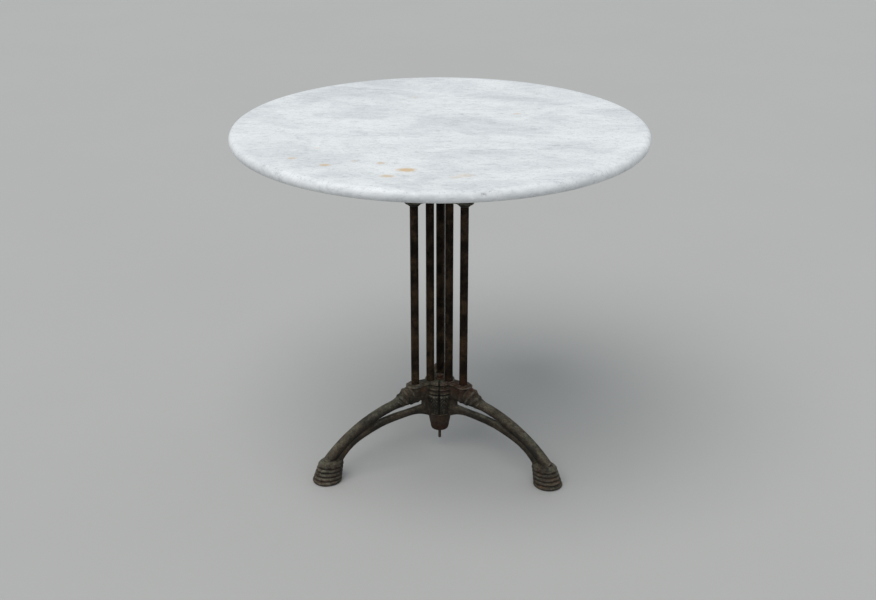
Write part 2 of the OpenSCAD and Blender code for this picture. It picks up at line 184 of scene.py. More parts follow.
class TableStage(bpy.types.PropertyGroup):
    lens: bpy.props.FloatProperty(
        name="Lens", description="Focal length of the camera, in millimetres", default=52.80
    )
    camera: bpy.props.FloatVectorProperty(
        name="Camera", description="Place of the camera", size=3, subtype="TRANSLATION",
        unit="LENGTH", default=(0.0920, -2.3812, 1.3704),
    )
    tilt: bpy.props.FloatProperty(
        name="Tilt", description="Angle by which the camera looks down", subtype="ANGLE",
        unit="ROTATION", default=math.radians(23.228),
    )
    turn: bpy.props.FloatProperty(
        name="Turn", description="Angle by which the camera is turned about the upright",
        subtype="ANGLE", unit="ROTATION", default=math.radians(2.3),
    )
    floor: colour("Floor", "Colour of the floor", (0.40, 0.40, 0.39))
    sky: colour("Sky", "Colour of the light from all around", (0.90, 0.95, 1.0))
    sky_strength: bpy.props.FloatProperty(
        name="Sky strength", description="Strength of the light from all around", default=0.62
    )
    sun_strength: bpy.props.FloatProperty(
        name="Lamp strength", description="Strength of the wide lamp overhead", default=1.9
    )


# ---------------------------------------------------------------------------
# Mesh tools. Shapes are drawn in millimetres and become metres in mesh_object.


def mesh_object(name, verts, faces):
    mesh = bpy.data.meshes.new(name)
    mesh.from_pydata((np.asarray(verts, float) * MM).tolist(), [], faces)
    mesh.update()
    obj = bpy.data.objects.new(name, mesh)
    bpy.context.scene.collection.objects.link(obj)
    return obj


def loft(rings, loop=False):
    """Closed skin through rings with equal point counts: fans at its ends, or joined end to end."""
    rings = np.asarray(rings, float)
    count, points = rings.shape[:2]
    verts = rings.reshape(-1, 3)
    faces = []
    for i in range(count if loop else count - 1):
        for j in range(points):
            a, b = i * points + j, i * points + (j + 1) % points
            c, d = ((i + 1) % count) * points + (j + 1) % points, ((i + 1) % count) * points + j
            faces.append((a, b, c, d))
    if not loop:
        first, last = len(verts), len(verts) + 1
        verts = np.vstack([verts, rings[0].mean(0), rings[-1].mean(0)])
        end = (count - 1) * points
        for j in range(points):
            faces.append((first, (j + 1) % points, j))
            faces.append((last, end + j, end + (j + 1) % points))
    return verts, faces


def turned(profile, segments=72, centre=0.0, loop=False):
    """Body of revolution about a line through (centre, 0)."""
    angle = np.linspace(0, TAU, segments, endpoint=False)
    rings = [
        np.stack([centre + r * np.cos(angle), r * np.sin(angle), np.full(segments, z)], 1)
        for r, z in profile
    ]
    return loft(rings, loop)


def smooth_rows(rows, steps=6):
    """Catmull-Rom curve through rows of numbers."""
    rows = np.asarray(rows, float)
    ends = np.vstack([2 * rows[0] - rows[1], rows, 2 * rows[-1] - rows[-2]])
    out = []
    for i in range(1, len(ends) - 2):
        p0, p1, p2, p3 = ends[i - 1 : i + 3]
        for t in np.linspace(0, 1, steps, endpoint=False):
            out.append(
                0.5
                * (
                    2 * p1
                    + (p2 - p0) * t
                    + (2 * p0 - 5 * p1 + 4 * p2 - p3) * t**2
                    + (3 * p1 - p0 - 3 * p2 + p3) * t**3
                )
            )
    out.append(ends[-2])
    return np.array(out)


def sweep(rows, steps=6, power=2.0, points=32):
    """Bar through rows of (x, z, half width, half depth) in the XZ plane; power squares its section."""
    path = smooth_rows(rows, steps)
    along = np.gradient(path[:, :2], axis=0)
    along /= np.linalg.norm(along, axis=1)[:, None]
    angle = np.linspace(0, TAU, points, endpoint=False)
    c = np.sign(np.cos(angle)) * np.abs(np.cos(angle)) ** (2 / power)
    s = np.sign(np.sin(angle)) * np.abs(np.sin(angle)) ** (2 / power)
    rings = []
    for (x, z, half_width, half_depth), (tx, tz) in zip(path, along):
        rings.append(
            np.stack([x - tz * half_depth * s, half_width * c, z + tx * half_depth * s], 1)
        )
    return loft(rings)


def joined(name, parts):
    verts, faces, base = [], [], 0
    for part_verts, part_faces in parts:
        verts.append(np.asarray(part_verts, float))
        faces.extend(tuple(v + base for v in face) for face in part_faces)
        base += len(part_verts)
    return mesh_object(name, np.vstack(verts), faces)


def applied(obj):
    """Turns an object's modifiers into a plain mesh."""
    graph = bpy.context.evaluated_depsgraph_get()
    mesh = bpy.data.meshes.new_from_object(obj.evaluated_get(graph))
    obj.modifiers.clear()
    old, obj.data = obj.data, mesh
    if old.users == 0:
        bpy.data.meshes.remove(old)
    if not len(mesh.polygons):
        raise RuntimeError(f"{obj.name} came out empty")
    return obj


def outwards(obj):
    """Merges doubles and turns every face outwards."""
    work = bmesh.new()
    work.from_mesh(obj.data)
    bmesh.ops.remove_doubles(work, verts=work.verts, dist=1e-7)
    bmesh.ops.recalc_face_normals(work, faces=work.faces)
    work.to_mesh(obj.data)
    work.free()
    return obj


def remove(obj):
    data = obj.data
    bpy.data.objects.remove(obj)
    if data.users == 0:
        bpy.data.meshes.remove(data)


def combine(obj, cutter, operation):
    outwards(cutter)
    boolean = obj.modifiers.new("cut", "BOOLEAN")
    boolean.operation = operation
    boolean.solver = "MANIFOLD"
    boolean.object = cutter
    applied(obj)
    remove(cutter)
    return obj


def cast_skin(name, parts, cell, softness):
    """One closed iron skin over parts that run into each other."""
    obj = joined(name, parts)
    remesh = obj.modifiers.new("skin", "REMESH")
    remesh.mode = "VOXEL"
    remesh.voxel_size = cell
    soften = obj.modifiers.new("soften", "SMOOTH")
    soften.factor = 0.5
    soften.iterations = softness
    return applied(obj)


def coordinates(mesh):
    out = np.empty(len(mesh.vertices) * 3, np.float32)
    mesh.vertices.foreach_get("co", out)
    return out.reshape(-1, 3).astype(float) / MM


def set_coordinates(mesh, points):
    mesh.vertices.foreach_set("co", (points * MM).astype(np.float32).ravel())
    mesh.update()


def normals(mesh):
    out = np.empty(len(mesh.vertices) * 3, np.float32)
    mesh.vertex_normals.foreach_get("vector", out)
    return out.reshape(-1, 3).astype(float)


def bumps(points, size, seed):
    """Soft noise from -1 to 1 with lumps of about that size, in millimetres."""
    shift = Vector((seed * 17.3, seed * 5.1, seed * 9.7))
    return np.array([noise.noise(Vector(p) / size + shift) for p in points])


def ramp(value, low, high):
    t = np.clip((value - low) / (high - low), 0, 1)
    return t * t * (3 - 2 * t)


def from_seam(points):
    """Distance from the planes in which a casting meets its two neighbours."""
    return points[:, 0] * math.sin(math.radians(60)) - np.abs(points[:, 1]) * 0.5


def store_relief(obj, rounds=30, seamed=False):
    """Writes how far each point stands over the smoothed skin, in millimetres, for rubbed edges, moss and
    painted shade in hollows.
    """
    mesh = obj.data
    points = coordinates(mesh)
    edges = np.empty(len(mesh.edges) * 2, np.int32)
    mesh.edges.foreach_get("vertices", edges)
    a, b = edges.reshape(-1, 2).T
    count = np.bincount(a, minlength=len(points)) + np.bincount(b, minlength=len(points))
    count = np.maximum(count, 1)
    flat = points.copy()
    for _ in range(rounds):
        total = np.stack(
            [
                np.bincount(a, flat[b, k], len(points)) + np.bincount(b, flat[a, k], len(points))
                for k in range(3)
            ],
            1,
        )
        flat = 0.5 * flat + 0.5 * total / count[:, None]
    value = ((points - flat) * normals(mesh)).sum(1)
    # Seams are written as deep hollows, so that the iron material paints shade along them.
    if seamed:
        closeness = np.exp(-((from_seam(points) / 2.1) ** 2)) * (points[:, 0] < 40)
        value = value * (1 - closeness) - 2 * closeness
    layer = mesh.attributes.new("relief", "FLOAT", "POINT")
    layer.data.foreach_set("value", value.astype(np.float32))


def place(obj, degrees, height=0.0, turned_over=False):
    """Moves a mesh from its drawing place to its arm. turned_over puts its top down."""
    matrix = Matrix.Rotation(math.radians(degrees), 4, "Z") @ Matrix.Translation((0, 0, height * MM))
    if turned_over:
        matrix = matrix @ Matrix.Diagonal((1, 1, -1, 1))
    obj.data.transform(matrix)
    if turned_over:
        obj.data.flip_normals()
    obj.data.update()


def finish_piece(obj, material, nodes, sharp=40.0):
    obj.data.materials.clear()
    obj.data.materials.append(material)
    obj.data.polygons.foreach_set("use_smooth", np.ones(len(obj.data.polygons), bool))
    obj.data.set_sharp_from_angle(angle=math.radians(sharp))
    obj.data.update()
    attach(obj, "root")
    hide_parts(*nodes)
    return obj


# ---------------------------------------------------------------------------
# Node tools


def add(tree, kind, inputs=None, **settings):
    node = tree.nodes.new(kind)
    for key, value in settings.items():
        setattr(node, key, value)
    for key, value in (inputs or {}).items():
        if isinstance(value, bpy.types.NodeSocket):
            tree.links.new(value, node.inputs[key])
        else:
            node.inputs[key].default_value = value
    return node


def new_group(name, kind, inputs, outputs):
    tree = bpy.data.node_groups.new(name, kind)
    for label, socket, default in inputs:
        item = tree.interface.new_socket(name=label, in_out="INPUT", socket_type=socket)
        if default is not None:
            item.default_value = default
    for label, socket in outputs:
        tree.interface.new_socket(name=label, in_out="OUTPUT", socket_type=socket)
    return tree, add(tree, "NodeGroupInput").outputs, add(tree, "NodeGroupOutput").inputs


def maths(tree, operation, first, second=0.0):
    """The result of a Math node."""
    return add(tree, "ShaderNodeMath", {0: first, 1: second}, operation=operation).outputs[0]


def times(tree, first, second):
    """The product of two values."""
    return maths(tree, "MULTIPLY", first, second)


def upness(tree):
    """1 where the skin looks up, -1 where it looks down."""
    normal = add(tree, "ShaderNodeNewGeometry").outputs["Normal"]
    return add(tree, "ShaderNodeSeparateXYZ", {0: normal}).outputs["Z"]


def own_place(tree):
    """The place of a point in its own object, in metres."""
    return add(tree, "ShaderNodeTexCoord").outputs["Object"]


def spread(tree, value, low, high, to_low=0.0, to_high=1.0):
    """Maps value from low..high to another range, smoothly and clamped."""
    return add(
        tree,
        "ShaderNodeMapRange",
        {"Value": value, "From Min": low, "From Max": high, "To Min": to_low, "To Max": to_high},
        interpolation_type="SMOOTHSTEP",
    ).outputs["Result"]


def mixed(tree, factor, first, second, blend="MIX"):
    return add(
        tree,
        "ShaderNodeMix",
        {0: factor, 6: first, 7: second},
        data_type="RGBA",
        blend_type=blend,
    ).outputs[2]


def rgba(value):
    return (*value, 1.0)


def noise_of(tree, place_in, scale, detail=4.0, roughness=0.55, distortion=0.0):
    return add(
        tree,
        "ShaderNodeTexNoise",
        {
            "Vector": place_in,
            "Scale": scale,
            "Detail": detail,
            "Roughness": roughness,
            "Distortion": distortion,
        },
    ).outputs["Fac"]


# Shader groups that more than one material uses


def group_wear_and_hollows():
    """Rubbed edges, and hollows that get moss and painted shade, from how far a point stands over the skin
    around it.
    """
    tree, inside, outside = new_group(
        "edge_wear_and_hollows",
        "ShaderNodeTree",
        [("Sharpness", "NodeSocketFloat", 0.45), ("Break-up Scale", "NodeSocketFloat", 90.0)],
        [("Worn", "NodeSocketFloat"), ("Hollow", "NodeSocketFloat")],
    )
    relief = add(tree, "ShaderNodeAttribute", attribute_name="relief").outputs["Fac"]
    at = own_place(tree)
    broken = noise_of(tree, at, inside["Break-up Scale"], 5.0, 0.65)
    high = spread(tree, relief, 0.08, inside["Sharpness"])
    low = spread(tree, times(tree, relief, -1.0), 0.12, inside["Sharpness"])
    tree.links.new(times(tree, high, spread(tree, broken, 0.36, 0.60)), outside["Worn"])
    tree.links.new(times(tree, low, spread(tree, broken, 0.25, 0.50)), outside["Hollow"])
    return tree


def group_upward():
    """What settles on faces that look up, patchy."""
    tree, inside, outside = new_group(
        "upward_bloom",
        "ShaderNodeTree",
        [("Amount", "NodeSocketFloat", 0.7), ("Scale", "NodeSocketFloat", 45.0)],
        [("Mask", "NodeSocketFloat")],
    )
    up = upness(tree)
    at = own_place(tree)
    patches = spread(tree, noise_of(tree, at, inside["Scale"], 6.0, 0.66), 0.38, 0.66)
    facing = spread(tree, up, 0.0, 0.95)
    tree.links.new(times(tree, times(tree, facing, patches), inside["Amount"]), outside["Mask"])
    return tree


def group_rust():
    """Patches of rust with a deep and a fresh colour and a grainy skin."""
    tree, inside, outside = new_group(
        "rust",
        "ShaderNodeTree",
        [
            ("Amount", "NodeSocketFloat", 0.5),
            ("Scale", "NodeSocketFloat", 30.0),
            ("Deep", "NodeSocketColor", (0.08, 0.03, 0.02, 1.0)),
            ("Fresh", "NodeSocketColor", (0.3, 0.12, 0.04, 1.0)),
        ],
        [("Mask", "NodeSocketFloat"), ("Color", "NodeSocketColor"), ("Grain", "NodeSocketFloat")],
    )
    at = own_place(tree)
    patches = noise_of(tree, at, inside["Scale"], 7.0, 0.62, 0.3)
    grain = noise_of(tree, at, 900.0, 3.0, 0.6)
    edge = maths(tree, "SUBTRACT", 0.78, times(tree, inside["Amount"], 0.42))
    mask = spread(tree, patches, edge, maths(tree, "ADD", edge, 0.10))
    tone = spread(tree, maths(tree, "ADD", patches, times(tree, grain, 0.25)), 0.62, 0.86)
    tree.links.new(mask, outside["Mask"])
    tree.links.new(mixed(tree, tone, inside["Deep"], inside["Fresh"]), outside["Color"])
    tree.links.new(grain, outside["Grain"])
    return tree


def group_stain():
    """One soft stain around a point of the slab."""
    tree, inside, outside = new_group(
        "stain",
        "ShaderNodeTree",
        [
            ("Place", "NodeSocketVector", (0.0, 0.0, 0.0)),
            ("Radius", "NodeSocketFloat", 0.01),
            ("Strength", "NodeSocketFloat", 0.5),
        ],
        [("Mask", "NodeSocketFloat")],
    )
    at = own_place(tree)
    away = add(
        tree, "ShaderNodeVectorMath", {0: at, 1: inside["Place"]}, operation="SUBTRACT"
    ).outputs[0]
    flat = add(
        tree, "ShaderNodeVectorMath", {0: away, 1: (0.62, 1.0, 1.0)}, operation="MULTIPLY"
    ).outputs[0]
    distance = add(tree, "ShaderNodeVectorMath", {0: flat}, operation="LENGTH").outputs["Value"]
    ragged = noise_of(tree, at, 170.0, 4.0, 0.65)
    uneven = maths(tree, "ADD", 0.25, times(tree, ragged, 1.5))
    reach = times(tree, inside["Radius"], uneven)
    mask = spread(tree, maths(tree, "DIVIDE", distance, reach), 1.0, 0.25)
    tree.links.new(times(tree, mask, inside["Strength"]), outside["Mask"])
    return tree


def use_group(tree, name, maker, values):
    """Places a shader group, which is built the first time that it is needed."""
    return add(tree, "ShaderNodeGroup", values, node_tree=bpy.data.node_groups.get(name) or maker())


def new_material(name):
    material = bpy.data.materials.new(name)
    material.use_nodes = True
    tree = material.node_tree
    tree.nodes.clear()
    shader = add(tree, "ShaderNodeBsdfPrincipled")
    add(tree, "ShaderNodeOutputMaterial", {"Surface": shader.outputs[0]})
    return material, tree, shader


def bump_into(tree, shader, layers):
    """Stacks bump layers of (height, strength, distance) into a shader's normal."""
    normal = None
    for height, strength, distance in layers:
        values = {"Height": height, "Strength": strength, "Distance": distance}
        if normal is not None:
            values["Normal"] = normal
        normal = add(tree, "ShaderNodeBump", values).outputs[0]
    tree.links.new(normal, shader.inputs["Normal"])


# Where water has run off the top of the hub: x, y, z and radius in millimetres, and strength
RUSTY_PLACES = [
    (46, -34, 170, 34, 0.9),
    (14, -38, 166, 22, 0.75),
    (-30, -34, 160, 16, 0.4),
    (2, 50, 168, 26, 0.6),
]


def iron_material(finish, name, dark, brown, bloom, rust, rough=(0.62, 0.86), gloss=0.2):
    """Weathered iron, with painted shade in hollows, along seams and on faces that look down. bloom and
    rust are how much of each shows.
    """
    found = bpy.data.materials.get(name)
    if found:
        return found
    material, tree, shader = new_material(name)
    at = own_place(tree)
    patches = noise_of(tree, at, 22.0, 6.0, 0.68)
    grain = noise_of(tree, at, 420.0, 4.0, 0.7)
    blotches = noise_of(tree, at, 105.0, 5.0, 0.72)
    base = mixed(tree, spread(tree, patches, 0.42, 0.60), rgba(dark), rgba(brown))
    wear_and_hollows = use_group(tree, "edge_wear_and_hollows", group_wear_and_hollows, {"Sharpness": 0.75, "Break-up Scale": 85.0})
    up = use_group(tree, "upward_bloom", group_upward, {"Amount": bloom, "Scale": 38.0})
    rusty = use_group(
        tree,
        "rust",
        group_rust,
        {"Amount": rust, "Scale": 26.0, "Deep": rgba(finish.rust_deep), "Fresh": rgba(finish.rust)},
    )
    base = mixed(tree, up.outputs["Mask"], base, rgba(finish.patina))
    height = add(tree, "ShaderNodeSeparateXYZ", {0: at}).outputs["Z"]
    low_rust = times(tree, spread(tree, height, 0.056, 0.030, 0.0, 0.75),
        spread(tree, noise_of(tree, at, 95.0, 5.0, 0.7), 0.50, 0.62),
    )
    base = mixed(tree, low_rust, base, rusty.outputs["Color"])
    for x, y, z, radius, strength in RUSTY_PLACES:
        spot = use_group(
            tree,
            "stain",
            group_stain,
            {"Place": (x * MM, y * MM, z * MM), "Radius": radius * MM, "Strength": strength},
        )
        base = mixed(tree, spot.outputs["Mask"], base, rusty.outputs["Color"])
    base = mixed(tree, times(tree, rusty.outputs["Mask"], 0.75), base, rusty.outputs["Color"])
    green = times(tree, wear_and_hollows.outputs["Hollow"],
        spread(tree, noise_of(tree, at, 30.0, 3.0), 0.50, 0.66, 0.0, bloom),
    )
    # Painted shade: hollows and seams are darkened towards 0.45 of the dark iron colour.
    base = mixed(
        tree,
        times(tree, wear_and_hollows.outputs["Hollow"], 0.80),
        base,
        rgba(tuple(0.45 * c for c in dark)),
    )
    base = mixed(tree, green, base, rgba(finish.moss))
    base = mixed(tree, times(tree, wear_and_hollows.outputs["Worn"], 0.36), base, rgba(finish.worn))
    for field, low, high in ((blotches, 0.36, 0.66), (grain, 0.34, 0.66)):
        tone = spread(tree, field, low, high, 0.68, 1.30)
        shade = add(tree, "ShaderNodeCombineColor", {0: tone, 1: tone, 2: tone}).outputs[0]
        base = mixed(tree, 0.85, base, shade, "MULTIPLY")
    # Painted shade: faces that look down are darkened, down to 0.38 of their colour.
    facing = upness(tree)
    under = spread(tree, facing, -0.75, 0.55, 0.38, 1.0)
    shade = add(tree, "ShaderNodeCombineColor", {0: under, 1: under, 2: under}).outputs[0]
    base = mixed(tree, 1.0, base, shade, "MULTIPLY")
    tree.links.new(base, shader.inputs["Base Color"])
    tree.links.new(spread(tree, grain, 0.25, 0.75, rough[1], rough[0]), shader.inputs["Roughness"])
    shader.inputs["Metallic"].default_value = 0.0
    shader.inputs["Specular IOR Level"].default_value = gloss
    bump_into(
        tree,
        shader,
        [
            (patches, 0.35, 0.0012),
            (noise_of(tree, at, 260.0, 5.0, 0.6), 0.5, 0.0005),
            (rusty.outputs["Grain"], 0.35, 0.0003),
        ],
    )
    return material


def steel_material(finish):
    return iron_material(
        finish, "fastener_steel", finish.steel, finish.tube_brown, 0.25, 0.75, rough=(0.42, 0.7)
    )


def lead_material(finish):
    found = bpy.data.materials.get("dull_lead")
    if found:
        return found
    material, tree, shader = new_material("dull_lead")
    at = own_place(tree)
    dull = noise_of(tree, at, 300.0, 5.0, 0.6)
    tree.links.new(
        mixed(tree, spread(tree, dull, 0.3, 0.7), rgba(finish.lead), (0.4, 0.41, 0.43, 1.0)),
        shader.inputs["Base Color"],
    )
    tree.links.new(spread(tree, dull, 0.2, 0.8, 0.45, 0.7), shader.inputs["Roughness"])
    shader.inputs["Metallic"].default_value = 0.6
    bump_into(tree, shader, [(dull, 0.4, 0.0003)])
    return material


# Rust stains on the slab: x, y, radius in millimetres and strength
STAINS = [
    (-46, -284, 15, 0.85),
    (-76, -319, 11, 0.60),
    (-189, -261, 9, 0.70),
    (-93, -246, 8, 0.55),
    (-251, -223, 8, 0.50),
    (-140, -236, 6, 0.30),
    (-215, -160, 7, 0.22),
    (55, -311, 14, 0.28),
    (38, -322, 9, 0.25),
    (148, 92, 8, 0.35),
    (-60, 210, 7, 0.3),
]

# Dark veins across the slab: x and y of the middle, half length, half width in millimetres
VEINS = [(126, -249, 78, 0.9), (127, -158, 56, 1.1), (-60, -60, 90, 0.6), (40, 120, 120, 0.7)]


def marble_material(finish, slab):
    material, tree, shader = new_material("honed_marble")
    at = own_place(tree)

    def stretched(x, y, z, turn=0.0):
        return add(
            tree,
            "ShaderNodeMapping",
            {"Vector": at, "Scale": (x, y, z), "Rotation": (0.0, 0.0, turn)},
        ).outputs[0]

    clouds = noise_of(tree, stretched(5.0, 8.0, 12.0, 0.05), 1.0, 6.0, 0.66, 0.6)
    mottle = noise_of(tree, stretched(58.0, 105.0, 105.0, -0.04), 1.0, 6.0, 0.72, 0.3)
    specks = noise_of(tree, stretched(170.0, 300.0, 300.0, 0.03), 1.0, 4.0, 0.75)
    crystals = noise_of(tree, at, 650.0, 3.0, 0.7)
    base = mixed(
        tree, spread(tree, clouds, 0.36, 0.72), rgba(finish.marble_light), rgba(finish.marble_cloud)
    )
    base = mixed(
        tree,
        spread(tree, mottle, 0.50, 0.72, 0.0, 0.60),
        base,
        rgba(tuple(0.78 * c for c in finish.marble_cloud)),
    )
    base = mixed(tree, spread(tree, mottle, 0.46, 0.26, 0.0, 0.45), base, (0.93, 0.945, 0.95, 1.0))
    base = mixed(
        tree,
        0.16,
        base,
        mixed(tree, crystals, (0.55, 0.55, 0.55, 1.0), (1.45, 1.45, 1.45, 1.0)),
        "MULTIPLY",
    )

    # The round edge is rubbed cleaner than the top
    facing = upness(tree)
    clean = spread(tree, maths(tree, "ABSOLUTE", facing), 0.35, 0.98, 0.22, 1.0)
    speck = times(tree, spread(tree, specks, 0.53, 0.68, 0.0, 0.62), clean)
    base = mixed(tree, speck, base, rgba(tuple(0.55 * c for c in finish.marble_cloud)))

    # Fine wandering veins, broken into short stretches
    for scale, width, turn, strength in (
        ((3.2, 21.0, 21.0), 0.010, 0.03, 0.55),
        ((7.5, 44.0, 44.0), 0.012, -0.06, 0.42),
        ((17.0, 120.0, 120.0), 0.020, 0.02, 0.30),
    ):
        field = noise_of(tree, stretched(*scale, turn), 1.0, 5.0, 0.6, 0.6)
        line = spread(
            tree, maths(tree, "ABSOLUTE", maths(tree, "SUBTRACT", field, 0.5)), width, 0.0
        )
        gate = spread(tree, noise_of(tree, stretched(9.0, 20.0, 20.0, turn), 1.0, 3.0), 0.50, 0.66)
        base = mixed(
            tree,
            times(tree, times(tree, line, gate), strength),
            base,
            rgba(finish.marble_vein),
        )

    # The few longer veins that the slab has by itself
    swing = noise_of(tree, stretched(28.0, 6.0, 6.0), 1.0, 4.0)
    wander = times(tree, maths(tree, "SUBTRACT", swing, 0.5), 0.022)
    split = add(tree, "ShaderNodeSeparateXYZ", {0: at}).outputs
    for x, y, half_length, half_width in VEINS:
        off = maths(
            tree, "ABSOLUTE", maths(tree, "ADD", maths(tree, "SUBTRACT", split["Y"], y * MM), wander)
        )
        along = maths(tree, "ABSOLUTE", maths(tree, "SUBTRACT", split["X"], x * MM))
        line = times(tree, spread(tree, off, half_width * MM * 1.5, 0.0),
            spread(tree, along, half_length * MM, half_length * MM * 0.4),
        )
        line = times(tree, line, spread(tree, mottle, 0.34, 0.52, 0.15, 0.75))
        base = mixed(tree, line, base, rgba(finish.marble_vein))

    for x, y, radius, strength in STAINS:
        spot = use_group(
            tree,
            "stain",
            group_stain,
            {
                "Place": (x * MM, y * MM, (slab.under + slab.thickness)),
                "Radius": radius * MM,
                "Strength": strength,
            },
        )
        base = mixed(tree, spot.outputs["Mask"], base, rgba(finish.rust_stain))

    # Pits and chips hold dirt
    cells = add(tree, "ShaderNodeTexVoronoi", {"Vector": at, "Scale": 95.0}, feature="F1")
    chosen = add(tree, "ShaderNodeSeparateColor", {0: cells.outputs["Color"]}).outputs[0]
    pits = times(tree, spread(tree, cells.outputs["Distance"], 0.085, 0.03),
        spread(tree, chosen, 0.80, 0.86),
    )
    base = mixed(tree, times(tree, pits, 0.7), base, (0.20, 0.20, 0.20, 1.0))
    chip = add(tree, "ShaderNodeAttribute", attribute_name="chip").outputs["Fac"]
    dirt = times(tree, chip, spread(tree, noise_of(tree, at, 240.0, 4.0), 0.42, 0.60))
    base = mixed(tree, times(tree, dirt, 0.65), base, (0.13, 0.105, 0.11, 1.0))
    tree.links.new(base, shader.inputs["Base Color"])
    tree.links.new(spread(tree, mottle, 0.3, 0.7, 0.34, 0.52), shader.inputs["Roughness"])
    shader.inputs["Specular IOR Level"].default_value = 0.45
    bump_into(
        tree,
        shader,
        [
            (mottle, 0.25, 0.0006),
            (crystals, 0.2, 0.0002),
            (maths(tree, "SUBTRACT", 1.0, pits), 0.8, 0.0008),
        ],
    )
    return material


# ---------------------------------------------------------------------------
# Geometry Nodes: what repeats


def set_inputs(modifier, values):
    """Sets a modifier's inputs by their sockets' identifiers."""
    found = {
        item.name: item.identifier
        for item in modifier.node_group.interface.items_tree
        if item.item_type == "SOCKET" and item.in_out == "INPUT"
    }
    for label, value in values.items():
        modifier[found[label]] = value


def grown(name, tree, values):
    """An object whose mesh a tree makes by itself."""
    obj = mesh_object(name, [(0, 0, 0)], [])
    modifier = obj.modifiers.new("tree", "NODES")
    modifier.node_group = tree
    set_inputs(modifier, values)
    return applied(obj)


def tree_around():
    """Copies of one piece at even turns around the column."""
    found = bpy.data.node_groups.get("around_column")
    if found:
        return found
    tree, inside, outside = new_group(
        "around_column",
        "GeometryNodeTree",
        [
            ("Piece", "NodeSocketObject", None),
            ("Count", "NodeSocketInt", 3),
            ("Circle Radius", "NodeSocketFloat", 0.1),
            ("Height", "NodeSocketFloat", 0.0),
            ("First Turn", "NodeSocketFloat", math.pi / 2),
            ("Material", "NodeSocketMaterial", None),
        ],
        [("Geometry", "NodeSocketGeometry")],
    )
    ring = add(
        tree, "GeometryNodeMeshCircle", {"Vertices": inside["Count"], "Radius": inside["Circle Radius"]}
    )
    piece = add(tree, "GeometryNodeObjectInfo", {"Object": inside["Piece"]})
    step = add(tree, "ShaderNodeMath", {0: TAU, 1: inside["Count"]}, operation="DIVIDE")
    turn = add(
        tree,
        "ShaderNodeMath",
        {0: add(tree, "GeometryNodeInputIndex").outputs[0], 1: step.outputs[0]},
        operation="MULTIPLY",
    )
    spin = add(tree, "ShaderNodeCombineXYZ", {"Z": turn.outputs[0]})
    copies = add(
        tree,
        "GeometryNodeInstanceOnPoints",
        {
            "Points": ring.outputs["Mesh"],
            "Instance": piece.outputs["Geometry"],
            "Rotation": spin.outputs[0],
        },
    )
    lift = add(tree, "ShaderNodeCombineXYZ", {"Z": inside["Height"]})
    first = add(tree, "ShaderNodeCombineXYZ", {"Z": inside["First Turn"]})
    moved = add(
        tree,
        "GeometryNodeTransform",
        {
            "Geometry": copies.outputs["Instances"],
            "Translation": lift.outputs[0],
            "Rotation": first.outputs[0],
        },
    )
    real = add(tree, "GeometryNodeRealizeInstances", {"Geometry": moved.outputs[0]})
    painted = add(
        tree, "GeometryNodeSetMaterial", {"Geometry": real.outputs[0], "Material": inside["Material"]}
    )
    tree.links.new(painted.outputs[0], outside["Geometry"])
    return tree


def around(name, piece, circle_r, height, material):
    """A piece drawn at the origin, set out around the column. The drawing is removed."""
    obj = grown(
        name,
        tree_around(),
        {
            "Piece": piece,
            "Count": len(ARMS),
            "Circle Radius": circle_r * MM,
            "Height": height * MM,
            "First Turn": math.radians(ARMS["rear"]),
            "Material": material,
        },
    )
    remove(piece)
    return obj


